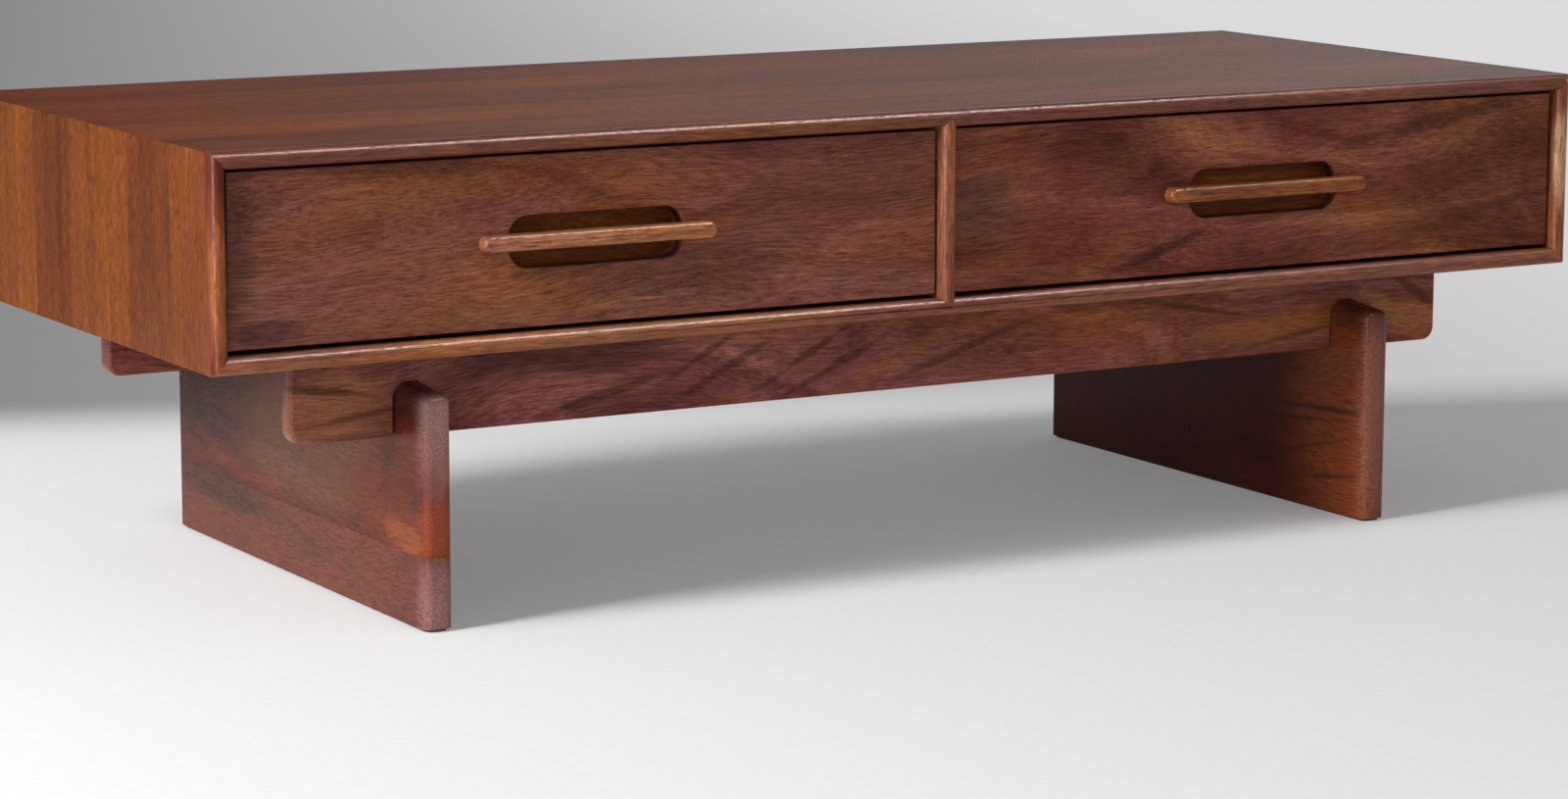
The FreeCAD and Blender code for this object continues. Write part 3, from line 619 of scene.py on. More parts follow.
LEFT_LEG_MARKS = (
    Mark((-495, 20, 30), (60, 420, 60), "#643d30", strength=0.6, heights_mm=LOWER_STAVE_MM, ragged=0.3),
    # Partly the board's own darker wood and partly painted shade: darker over the upper rear, under the case
    Mark((-495, 180, 140), (60, 260, 66), "#311913", (4, 0, 0), 0.9, UPPER_STAVE_MM, 0.4),
    Mark((-495, -30, 120), (60, 150, 60), "#714832", (4, 0, 0), 0.6, UPPER_STAVE_MM, 0.4),
    Mark((-495, 20, 96), (60, 130, 12), "#6b4236", (6, 0, 0), 0.5, ragged=0.8),
    Mark((-495, 160, 52), (60, 120, 18), "#3d271e", (2, 0, 0), 0.75, ragged=0.5),
    Mark((-495, -190, 92), (60, 84, 36), "#6b2d15", (12, 0, 0), 0.85, UPPER_STAVE_MM, 0.4),
    Mark((-495, -228, 74), (60, 46, 14), "#8b471e", (8, 0, 0), 0.85, UPPER_STAVE_MM, 0.5),
    Mark((-495, -110, 34), (60, 44, 5), "#563432", (20, 0, 0), 0.5, LOWER_STAVE_MM),
    Mark((-495, -30, 40), (60, 90, 4), "#50312b", (12, 0, 0), 0.5, LOWER_STAVE_MM),
    # Painted shade: darker at the top front, just under the case
    Mark((-495, -235, 200), (60, 60, 30), "#482926", strength=0.7, ragged=0.4),
    Mark((-481, -290, 180), (60, 40, 90), "#a9817d", strength=0.9, ragged=0.15),
    Mark((-484, -270, 88), (30, 22, 28), "#994c35", strength=0.7, heights_mm=UPPER_STAVE_MM, ragged=0.3),
    Mark((-481, -290, 20), (60, 40, 70), "#a07775", strength=0.9, heights_mm=LOWER_STAVE_MM, ragged=0.15),
)
RIGHT_LEG_MARKS = (
    # Partly painted light and shade: lighter at the front and darker towards the rear, where the case shades
    # the leg
    Mark((468, -240, 100), (20, 100, 190), "#8d4624", strength=0.8, ragged=0.3),
    Mark((468, 90, 110), (20, 210, 180), "#441a16", strength=0.75, ragged=0.3),
    Mark((468, -195, 98), (20, 75, 3), "#301713", (-3, 0, 0), 0.7),
    Mark((468, -160, 84), (20, 60, 2), "#301713", (-5, 0, 0), 0.6),
    Mark((468, -180, 60), (20, 60, 2), "#33180f", (-14, 0, 0), 0.5),
    Mark((468, -215, 36), (20, 50, 2), "#33180f", (-8, 0, 0), 0.6),
    Mark((481, -290, 115), (60, 40, 200), "#8a5e52", strength=0.9, ragged=0.15),
    # Painted shade: darker at the top front, just under the case
    Mark((481, -238, 205), (30, 40, 34), "#3f2423", strength=0.7, ragged=0.4),
)
LIPPING_MARKS = {
    # Painted sheen: a light tan streak where the right lipping's figure shines
    "front_right": (Mark((679, -283, 330), (12, 8, 46), "#b8906e", strength=0.8),),
    "front_left": (Mark((-679, -283, 300), (12, 12, 60), "#a8602f", strength=0.5),),
    # Partly painted highlight and shade: lighter left of the middle where the highlight is brightest, darker
    # at the left mitre and towards the right
    "front_bottom": (Mark((-600, -283, 246), (90, 12, 12), "#6c4034", strength=0.7),
                     Mark((-300, -283, 246), (230, 12, 12), "#96643a", strength=0.5),
                     Mark((400, -283, 244), (330, 12, 14), "#74443a", strength=0.65, ragged=0.8)),
}

# How the wide boards are glued up, and where in the log each board was sawn
SIDE_STAVES = Staves(1, (-271, 271), (-271, -201, -110, 20, 104, 190),
                     ("#ffe0cc", "#e6c9c0", "#f4d8c4", "#dfc0b4", "#f6dcc8", "#e9cdbf"))
TOP_STAVES = Staves(1, (-271, 271), (-271, -168, -60, 45, 150),
                    ("#f0e4e0", "#ffffff", "#e9dcd6", "#fbf3ee", "#ece2dc"))
LEG_STAVES = {side: Staves(2, (0, 231), (0, LEG_GLUE_MM), tints)
              for side, tints in (("left", ("#c49065", "#ddb488")), ("right", ("#a65f4a", "#995743")))}
BOARD_CUTS = {
    "top_panel": Cut("top", heart_mm=(20, 330), staves=TOP_STAVES),
    "bottom_panel": Cut("bottom", heart_mm=(0, 120), tint="#a58478"),
    "left_side": Cut("left", Grain.ALONG_Z, (-40, 560), staves=SIDE_STAVES),
    "right_side": Cut("right", Grain.ALONG_Z, (60, -540), 700, staves=SIDE_STAVES),
}
DIVIDER_CUT = Cut("divider", Grain.ALONG_Z, (70, 30), 2300, "#fff3d9")
LIPPING_STARTS_MM = {"top": 0, "bottom": 380, "left": 900, "right": 1500}
LIPPING_TINTS = {"top": "#cbbec9", "bottom": "#fff0e5", "left": "#af734b", "right": "#f3d8b5"}
LEG_CUTS = {
    "left": Cut("left_leg", Grain.ALONG_Y, (-500, 90), staves=LEG_STAVES["left"], marks=LEFT_LEG_MARKS),
    "right": Cut("right_leg", Grain.ALONG_Y, (520, 60), 1700, staves=LEG_STAVES["right"],
                 marks=RIGHT_LEG_MARKS),
}
RAIL_CUTS = {
    "front": Cut("front_rail", heart_mm=(45, 190), along_mm=300, marks=FRONT_RAIL_MARKS),
    "rear": Cut("rear_rail", heart_mm=(45, 190), along_mm=2600),
}
FRONT_CUTS = {
    "left": Cut("left_front", heart_mm=(70, 260), tint="#fff4ec", sweep=4, marks=LEFT_FRONT_MARKS),
    "right": Cut("right_front", heart_mm=(-60, 420), along_mm=3100, tint="#ffe9ce", sweep=-24,
                 marks=RIGHT_FRONT_MARKS),
}
SLAT_CUTS = {
    "left": Cut("left_slat", heart_mm=(-12, 330), along_mm=200),
    "right": Cut("right_slat", heart_mm=(-12, 330), along_mm=900, tint="#dcc8a8"),
}


def lay_down_tools() -> None:
    """Leave edit mode, with nothing selected."""
    if bpy.context.mode != "OBJECT":
        bpy.ops.object.mode_set(mode="OBJECT")
    bpy.ops.object.select_all(action="DESELECT")


class Workpiece:
    """One piece, shaped in edit mode as by hand and kept in the table's own frame."""

    merge_under = 0.01 * MM
    smooth_below = math.radians(32)

    def __init__(self, name: str, low: Vector, high: Vector) -> None:
        """Add a block between two corners and open it for shaping.

        Args:
            name: The piece's name.
            low: Its lowest corner.
            high: Its highest corner.
        """
        lay_down_tools()
        bpy.ops.mesh.primitive_cube_add(size=1, location=(low + high) / 2, scale=high - low)
        self._open(name)

    def _open(self, name: str) -> None:
        """Settle the new primitive in the table's frame and open it for editing.

        Args:
            name: The piece's name.
        """
        self.item = bpy.context.object
        self.item.name = self.item.data.name = name
        bpy.ops.object.transform_apply(location=True, rotation=True, scale=True)
        bpy.ops.object.mode_set(mode="EDIT")
        bpy.context.tool_settings.mesh_select_mode = (False, True, False)

    @classmethod
    def rod(cls, name: str, centre: Vector, axis: int, radius: float, length: float,
            sides: int = 48) -> "Workpiece":
        """Add a round rod along an axis and open it for shaping.

        Args:
            name: The piece's name.
            centre: The middle of the rod.
            axis: 0, 1 or 2 for a rod along X, Y or Z.
            radius: Its radius.
            length: Its length.
            sides: How many flats stand for its round.

        Returns:
            The piece.
        """
        turn = ((0, math.pi / 2, 0), (math.pi / 2, 0, 0), (0, 0, 0))[axis]
        lay_down_tools()
        bpy.ops.mesh.primitive_cylinder_add(vertices=sides, radius=radius, depth=length, location=centre,
                                            rotation=turn)
        piece = cls.__new__(cls)
        piece._open(name)
        return piece

    def pick_edges(self, test: Test) -> None:
        """Select the edges that pass a test, and nothing else.

        Args:
            test: Tells from an edge whether it is wanted.
        """
        bpy.context.tool_settings.mesh_select_mode = (False, True, False)
        bpy.ops.mesh.select_all(action="DESELECT")
        mesh = bmesh.from_edit_mesh(self.item.data)
        for edge in [edge for edge in mesh.edges if test(edge)]:
            edge.select_set(True)
        bmesh.update_edit_mesh(self.item.data)

    def pick_faces(self, test: Test) -> None:
        """Select the faces that pass a test, and nothing else.

        Args:
            test: Tells from a face whether it is wanted.
        """
        bpy.context.tool_settings.mesh_select_mode = (False, False, True)
        bpy.ops.mesh.select_all(action="DESELECT")
        mesh = bmesh.from_edit_mesh(self.item.data)
        mesh.normal_update()
        for face in [face for face in mesh.faces if test(face)]:
            face.select_set(True)
        bmesh.update_edit_mesh(self.item.data)

    def round_over(self, test: Test, radius: float, segments: int = 6) -> None:
        """Round the edges that pass a test.

        Args:
            test: Tells from an edge whether it is wanted.
            radius: The radius of the round.
            segments: How many flats stand for the round.
        """
        self.pick_edges(test)
        bpy.ops.mesh.bevel(offset=radius, segments=segments, profile=0.5, affect="EDGES", clamp_overlap=False)

    def draw_out(self, test: Test, by: Vector) -> None:
        """Extrude the faces that pass a test.

        Args:
            test: Tells from a face whether it is wanted.
            by: How far and which way they move.
        """
        self.pick_faces(test)
        bpy.ops.mesh.extrude_region_move(TRANSFORM_OT_translate={"value": by})

    def trim(self, point: Vector, normal: Vector) -> None:
        """Saw off what lies beyond a plane, and close the cut.

        Args:
            point: A point on the plane.
            normal: The side of the plane that is sawn off.
        """
        bpy.ops.mesh.select_all(action="SELECT")
        bpy.ops.mesh.bisect(plane_co=point, plane_no=normal, use_fill=True, clear_outer=True)

    def score(self, point: Vector, normal: Vector) -> None:
        """Mark a line of edges where a plane crosses the piece.

        Args:
            point: A point on the plane.
            normal: The plane's normal.
        """
        bpy.ops.mesh.select_all(action="SELECT")
        bpy.ops.mesh.bisect(plane_co=point, plane_no=normal)

    def carve(self, cutter: "Workpiece") -> None:
        """Cut another piece's shape out of this one, and remove that piece.

        Args:
            cutter: The piece whose shape goes.
        """
        cutter.close()
        self.close()
        bpy.context.view_layer.objects.active = self.item
        change = self.item.modifiers.new("carve", "BOOLEAN")
        change.operation, change.solver, change.object = "DIFFERENCE", "EXACT", cutter.item
        bpy.ops.object.modifier_apply(modifier=change.name)
        bpy.data.objects.remove(cutter.item)
        self.item.select_set(True)
        bpy.ops.object.mode_set(mode="EDIT")

    def close(self) -> None:
        """Leave edit mode, with this piece the only one that is selected."""
        lay_down_tools()
        self.item.select_set(True)
        bpy.context.view_layer.objects.active = self.item

    def finish(self, body: str, slot: str, material: Material, *replaced: str) -> bpy.types.Object:
        """Close the piece, smooth its rounds, dress it and place it on its body.

        Args:
            body: The body that it rides on.
            slot: The name of its finish; it is not used.
            material: Its material.
            replaced: The construction nodes that it stands for.

        Returns:
            The finished object.
        """
        bpy.ops.mesh.select_all(action="SELECT")
        bpy.ops.mesh.remove_doubles(threshold=self.merge_under)
        bpy.ops.mesh.normals_make_consistent(inside=False)
        self.close()
        bpy.ops.object.shade_smooth_by_angle(angle=self.smooth_below)
        weigh = self.item.modifiers.new("weigh", "WEIGHTED_NORMAL")
        weigh.keep_sharp = True
        bpy.ops.object.modifier_apply(modifier=weigh.name)
        self.item.data.materials.append(material)
        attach(self.item, body)
        if replaced:
            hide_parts(*replaced)
        log.info("%s: %d faces, on %s", self.item.name, len(self.item.data.polygons), body)
        return self.item


# How far a direction may stray and still run along an axis or lean as a mitre does, how much of a normal
# points up or down on a level face, and from which angle in radians an edge is sharp
STRAIGHT = 0.001
LEANING = 0.01
LEVEL = 0.9
SHARP = 0.5


def near(one: float, other: float, reach: float = 0.02 * MM) -> bool:
    """Tell whether two coordinates are the same place."""
    return abs(one - other) < reach


def runs_along(edge: Edge, axis: int) -> bool:
    """Tell whether a straight edge runs along an axis."""
    way = edge.verts[1].co - edge.verts[0].co
    return abs(way[axis]) > (1 - STRAIGHT) * way.length


def lies_at(edge: Edge, axis: int, place: float) -> bool:
    """Tell whether both ends of an edge lie on a plane across an axis."""
    return all(near(vert.co[axis], place) for vert in edge.verts)


def crosses_at(edge: Edge, height: float, places: Sequence[float]) -> bool:
    """Tell whether an edge runs across a rail, at a height and at one of some places along X."""
    at_place = any(lies_at(edge, 0, place) for place in places)
    return at_place and runs_along(edge, 1) and lies_at(edge, 2, height)


def is_mitre(face: Face) -> bool:
    """Tell whether a face is a sawn mitre, which leans equally to X and Z."""
    return abs(face.normal.y) < LEANING and near(abs(face.normal.x), abs(face.normal.z), LEANING)


def mitre_rim(edge: Edge) -> bool:
    """Tell whether an edge runs round a sawn mitre."""
    return sum(is_mitre(face) for face in edge.link_faces) == 1


def dress(node: str, material: Material) -> None:
    """Give a construction node its finish.

    Args:
        node: The node's name.
        material: Its material.
    """
    mesh = bpy.data.objects[node].data
    mesh.materials.clear()
    mesh.materials.append(material)
    log.info("%s: kept, in %s", node, material.name)


@dataclass
class CaseShell:
    """The mitred case: its four boards, the half-round lippings round both faces, and its inside."""

    board_ease: float = 0.5 * MM
    joint_ease: float = 0.35 * MM
    body: str = "case"

    def build(self) -> None:
        """Make and dress every piece of the case."""
        self.boards()
        for face in ("front", "back"):
            self.lippings(face)
        self.divider_lipping()
        dress("centre_divider", FRONT_WOOD.material(Cut("divider", Grain.ALONG_Y)))
        dress("back_panel", PANEL_WOOD.material(Cut("back", heart_mm=(20, 60))))
        for node in ("mitre_splines", "divider_dowels"):
            dress(node, JOINT_WOOD.material(Cut(node, Grain.ALONG_Z)))

    def mitres(self, piece: Workpiece, sign_x: int, sign_z: int) -> None:
        """Saw both ends of a board at the case's mitres.

        Args:
            piece: The board.
            sign_x: -1 or 1 for a left or right board, else 0.
            sign_z: -1 or 1 for a bottom or top board, else 0.
        """
        low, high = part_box("left_side")[0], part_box("right_side")[1]
        ends = [(end, sign_z) for end in (-1, 1)] if sign_z else [(sign_x, end) for end in (-1, 1)]
        for side, rise in ends:
            corner = Vector((high.x if side > 0 else low.x, 0, high.z if rise > 0 else low.z))
            outward = Vector((side, 0, -rise)) if sign_z else Vector((-side, 0, rise))
            piece.trim(corner, outward)

    def boards(self) -> None:
        """Make the four boards, with their outer arrises and joints lightly eased."""
        signs = {"top_panel": (0, 1), "bottom_panel": (0, -1), "left_side": (-1, 0), "right_side": (1, 0)}
        for node, (sign_x, sign_z) in signs.items():
            wood = TOP_WOOD if node == "top_panel" else SIDE_WOOD
            low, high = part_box(node)
            piece = Workpiece(node + "_board", low, high)
            self.mitres(piece, sign_x, sign_z)
            ends = (low.y, high.y)
            piece.round_over(lambda edge: runs_along(edge, 1) and mitre_rim(edge), self.board_ease,
                             segments=3)
            piece.round_over(lambda edge: any(lies_at(edge, 1, end) for end in ends)
                             and not mitre_rim(edge), self.joint_ease, segments=1)
            piece.finish(self.body, wood.name, wood.material(BOARD_CUTS[node]), node)

    def lippings(self, face: str) -> None:
        """Make the four mitred half-round lippings of one face.

        Args:
            face: "front" or "back".
        """
        signs = {"top": (0, 1), "bottom": (0, -1), "left": (-1, 0), "right": (1, 0)}
        for side, (sign_x, sign_z) in signs.items():
            node = f"{face}_{side}_lipping"
            low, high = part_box(node)
            piece = self.half_round(node + "_moulding", low, high, 0 if sign_z else 2, face)
            self.mitres(piece, sign_x, sign_z)
            if face == "front" and sign_z:
                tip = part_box("divider_lipping")[1 if sign_z > 0 else 0].z
                self.notch(piece, tip, sign_z)
            piece.round_over(mitre_rim, self.joint_ease, segments=1)
            grain = Grain.ALONG_X if sign_z else Grain.ALONG_Z
            cut = Cut(f"{face}_{side}", grain, (80, 40), LIPPING_STARTS_MM[side], LIPPING_TINTS[side],
                      marks=LIPPING_MARKS.get(f"{face}_{side}", ()))
            piece.finish(self.body, "lipping_wood", LIPPING_WOOD.material(cut), node)

    def half_round(self, name: str, low: Vector, high: Vector, axis: int, face: str) -> Workpiece:
        """Turn a half-round moulding with a short straight back.

        Args:
            name: The piece's name.
            low: Its lowest corner.
            high: Its highest corner.
            axis: 0 or 2 for a moulding along X or Z.
            face: "front" or "back", the face of the case that it edges.

        Returns:
            The moulding, square at both ends.
        """
        size = high - low
        radius = size[2 - axis] / 2
        away = -1 if face == "front" else 1
        crest = low.y if face == "front" else high.y
        middle = (low + high) / 2
        centre = Vector((middle.x, crest - away * radius, middle.z))
        piece = Workpiece.rod(name, centre, axis, radius, size[axis])
        piece.trim(centre, Vector((0, -away, 0)))
        straight = Vector((0, -away * (size.y - radius), 0))
        piece.draw_out(lambda one: near(abs(one.normal.y), 1, STRAIGHT), straight)
        return piece

    def notch(self, piece: Workpiece, tip: float, sign_z: int) -> None:
        """Cut the V into which the divider's lipping runs.

        Args:
            piece: The top or bottom lipping.
            tip: The height of the V's point.
            sign_z: 1 for the top lipping and -1 for the bottom one.
        """
        low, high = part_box("front_top_lipping")
        reach = high.z - low.z
        turn = Matrix.Rotation(math.radians(45), 4, "Y")
        half = Vector((reach / math.sqrt(2), reach, reach / math.sqrt(2)))
        cutter = Workpiece("notch_cutter", -half, half)
        cutter.close()
        cutter.item.data.transform(Matrix.Translation((0, low.y, tip - sign_z * reach)) @ turn)
        piece.carve(cutter)

    def divider_lipping(self) -> None:
        """Make the lipping of the divider, pointed at both ends."""
        low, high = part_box("divider_lipping")
        piece = self.half_round("divider_lipping_moulding", low, high, 2, "front")
        for rise, tip in ((1, high.z), (-1, low.z)):
            for side in (-1, 1):
                piece.trim(Vector((0, 0, tip)), Vector((side, 0, rise)))
        piece.round_over(mitre_rim, self.joint_ease, segments=1)
        piece.finish(self.body, "lipping_wood", LIPPING_WOOD.material(DIVIDER_CUT), "divider_lipping")


@dataclass
class Base:
    """Two slab legs and two rails that lap over each other, and the strips that the legs stand on."""

    leg_radius: float = 9 * MM
    shoulder: float = 198 * MM
    end_radius: float = 12 * MM
    mouth_radius: float = 4 * MM
    arris: float = 3.5 * MM
    clearance: float = 0.2 * MM
    body: str = "case"

    def build(self) -> None:
        """Make and dress every piece of the base."""
        for side in ("left", "right"):
            self.leg(side)
            dress(f"{side}_foot_strip", BlackRubber().material())
        for place in ("front", "rear"):
            self.rail(place)

    def leg(self, side: str) -> None:
        """Make one slab leg: its ears stand in front of and behind the rails.

        Args:
            side: "left" or "right".
        """
        low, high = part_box(f"{side}_leg")
        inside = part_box("rear_rail")[0].y
        piece = Workpiece(f"{side}_leg_slab", low, Vector((high.x, high.y, self.shoulder)))
        for place in (-inside, inside):
            piece.score(Vector((0, place, 0)), Vector((0, 1, 0)))
        piece.draw_out(lambda face: face.normal.z > LEVEL and abs(face.calc_center_median().y) < inside,
                       Vector((0, 0, high.z - self.shoulder)))

        def shows(edge: Edge) -> bool:
            """Tell whether an edge of the slab is one that stays in sight.

            Args:
                edge: The edge.

            Returns:
                True for the upright ends, and for the ears' tops.
            """
            at_end = lies_at(edge, 1, low.y) or lies_at(edge, 1, high.y)
            if runs_along(edge, 2):
                return at_end
            if runs_along(edge, 0):
                return at_end and not lies_at(edge, 2, low.z)
            outside = all(abs(vert.co.y) > inside - self.clearance for vert in edge.verts)
            return lies_at(edge, 2, self.shoulder) and outside

        piece.round_over(shows, self.leg_radius, segments=10)
        piece.finish(self.body, "base_wood", BASE_WOOD.material(LEG_CUTS[side]), f"{side}_leg")

    def rail(self, place: str) -> None:
        """Make one rail, notched over both legs.

        Args:
            place: "front" or "rear".
        """
        low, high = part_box(f"{place}_rail")
        inner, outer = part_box("right_leg")[0].x - self.clearance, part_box("right_leg")[1].x + self.clearance
        piece = Workpiece(f"{place}_rail_board", Vector((low.x, low.y, self.shoulder)), high)
        walls = (-outer, -inner, inner, outer)
        for wall in walls:
            piece.score(Vector((wall, 0, 0)), Vector((1, 0, 0)))
        piece.draw_out(lambda face: face.normal.z < -LEVEL
                       and not inner < abs(face.calc_center_median().x) < outer,
                       Vector((0, 0, low.z - self.shoulder)))
        piece.round_over(lambda edge: crosses_at(edge, low.z, (low.x, high.x)), self.end_radius, segments=8)
        piece.round_over(lambda edge: crosses_at(edge, low.z, walls), self.mouth_radius)
        piece.round_over(lambda edge: crosses_at(edge, self.shoulder, walls),
                         self.leg_radius + self.clearance, segments=8)
        piece.round_over(lambda edge: (lies_at(edge, 1, low.y) or lies_at(edge, 1, high.y))
                         and not lies_at(edge, 2, high.z) and len(edge.link_faces) == 2
                         and edge.calc_face_angle(0) > SHARP, self.arris, segments=5)
        piece.finish(self.body, "base_wood", BASE_WOOD.material(RAIL_CUTS[place]), f"{place}_rail")


@dataclass
class Drawer:
    """One drawer: its front with a finger cut-out, the slat across it, its box and its runners."""

    side: str
    front_ease: float = 1.0 * MM
    cutout_width: float = 163 * MM
    cutout_height: float = 44 * MM
    cutout_radius: float = 18 * MM
    slat_arris: float = 3.5 * MM
    slat_flat: float = 0.02 * MM
    # Painted shade: a dark patch over the cut-out's inner walls, where shade falls in the recess
    cutout_shade_size_mm: tuple[float, float, float] = (170, 8, 46)
    cutout_painted_shade: str = "#22100b"
    wall_step_mm: float = 400
    box_front_tint: str = "#cba250"

    def build(self) -> None:
        """Make and dress every piece of the drawer."""
        side = self.side
        self.front()
        self.slat()
        walls = {"box_front": Grain.ALONG_X, "box_back": Grain.ALONG_X, "left_side": Grain.ALONG_Y,
                 "right_side": Grain.ALONG_Y}
        for number, (wall, grain) in enumerate(walls.items()):
            wood, cut = BOX_WOOD, Cut(f"{side}_{wall}", grain, (30, 200), self.wall_step_mm * number)
            if wall == "box_front":
                wood, cut = FRONT_WOOD, replace(cut, tint=self.box_front_tint)
            dress(f"{side}_drawer_{wall}", wood.material(cut))
        dress(f"{side}_drawer_bottom", PANEL_WOOD.material(Cut(f"{side}_bottom", heart_mm=(40, 90))))
        metals = {
            RUNNER_STEEL: ("case_runners", "middle_runners", "drawer_runners"),
            BALL_STEEL: ("outer_ball_cages", "inner_ball_cages"),
            SCREW_STEEL: ("drawer_runner_screws", "handle_screws", "front_screws"),
        }
        for metal, nodes in metals.items():
            for node in nodes:
                dress(f"{side}_{node}", metal.material())

    def front(self) -> None:
        """Make the inset front, with its cut-out, painted shade on the cut-out's inner walls, and its eased
        arrises.
        """
        low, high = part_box(f"{self.side}_drawer_front")
        case_low, case_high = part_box("left_side")
        centre = Vector(((low.x + high.x) / 2, (low.y + high.y) / 2, (case_low.z + case_high.z) / 2))
        half = Vector((self.cutout_width / 2, high.y - low.y, self.cutout_height / 2))
        cutter = Workpiece("cutout_cutter", centre - half, centre + half)
        cutter.round_over(lambda edge: runs_along(edge, 1), self.cutout_radius, segments=14)
        cutter.close()
        piece = Workpiece(f"{self.side}_drawer_face", low, high)
        piece.carve(cutter)
        piece.round_over(lambda edge: lies_at(edge, 1, low.y), self.front_ease, segments=3)
        piece.round_over(lambda edge: lies_at(edge, 1, high.y), self.front_ease / 2, segments=1)
        # Painted shade darkens the cut-out's inner walls
        cutout_shade_mark = Mark(tuple(centre / MM), self.cutout_shade_size_mm, self.cutout_painted_shade, strength=1.0)
        cut = replace(FRONT_CUTS[self.side], marks=FRONT_CUTS[self.side].marks + (cutout_shade_mark,))
        piece.finish(f"{self.side}_drawer", "front_wood", FRONT_WOOD.material(cut),
                     f"{self.side}_drawer_front")

    def slat(self) -> None:
        """Make the slat, round at both ends and rounded over along its front."""
        low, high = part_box(f"{self.side}_handle")
        radius = (high.z - low.z) / 2
        piece = Workpiece(f"{self.side}_slat", low, high)
        piece.round_over(lambda edge: runs_along(edge, 1), radius - self.slat_flat, segments=14)
        piece.round_over(lambda edge: lies_at(edge, 1, low.y), self.slat_arris)
        material = HANDLE_WOOD.material(SLAT_CUTS[self.side])
        piece.finish(f"{self.side}_drawer", "handle_wood", material, f"{self.side}_handle")


@dataclass
class Fastenings:
    """The screws, bolts, washers and inserts that hold the case, the base and the runners together."""

    def build(self) -> None:
        """Dress every fastening of the case."""
        for node in ("case_runner_screws", "case_bolts", "case_bolt_washers", "lap_screws"):
            dress(node, SCREW_STEEL.material())
        dress("rail_inserts", INSERT_BRASS.material())


@dataclass(frozen=True)
class Lamp:
    """A soft rectangular lamp, placed and sized in metres, with its power in watts.

    One that only gloss shows draws a bright line along each round and lights nothing.
    """

    name: str
    place: tuple[float, float, float]
    target: tuple[float, float, float]
    size: tuple[float, float]
    power: float
    gloss_only: bool = True

    def hang(self) -> None:
        """Add the lamp to the scene, turned to its target."""
        data = bpy.data.lights.new(self.name, "AREA")
        data.shape, data.energy = "RECTANGLE", self.power
        data.size, data.size_y = self.size
        item = bpy.data.objects.new(self.name, data)
        bpy.context.scene.collection.objects.link(item)
        item.location = self.place
        item.visible_diffuse = not self.gloss_only
        item.rotation_euler = (Vector(self.target) - Vector(self.place)).to_track_quat("-Z", "Y").to_euler()


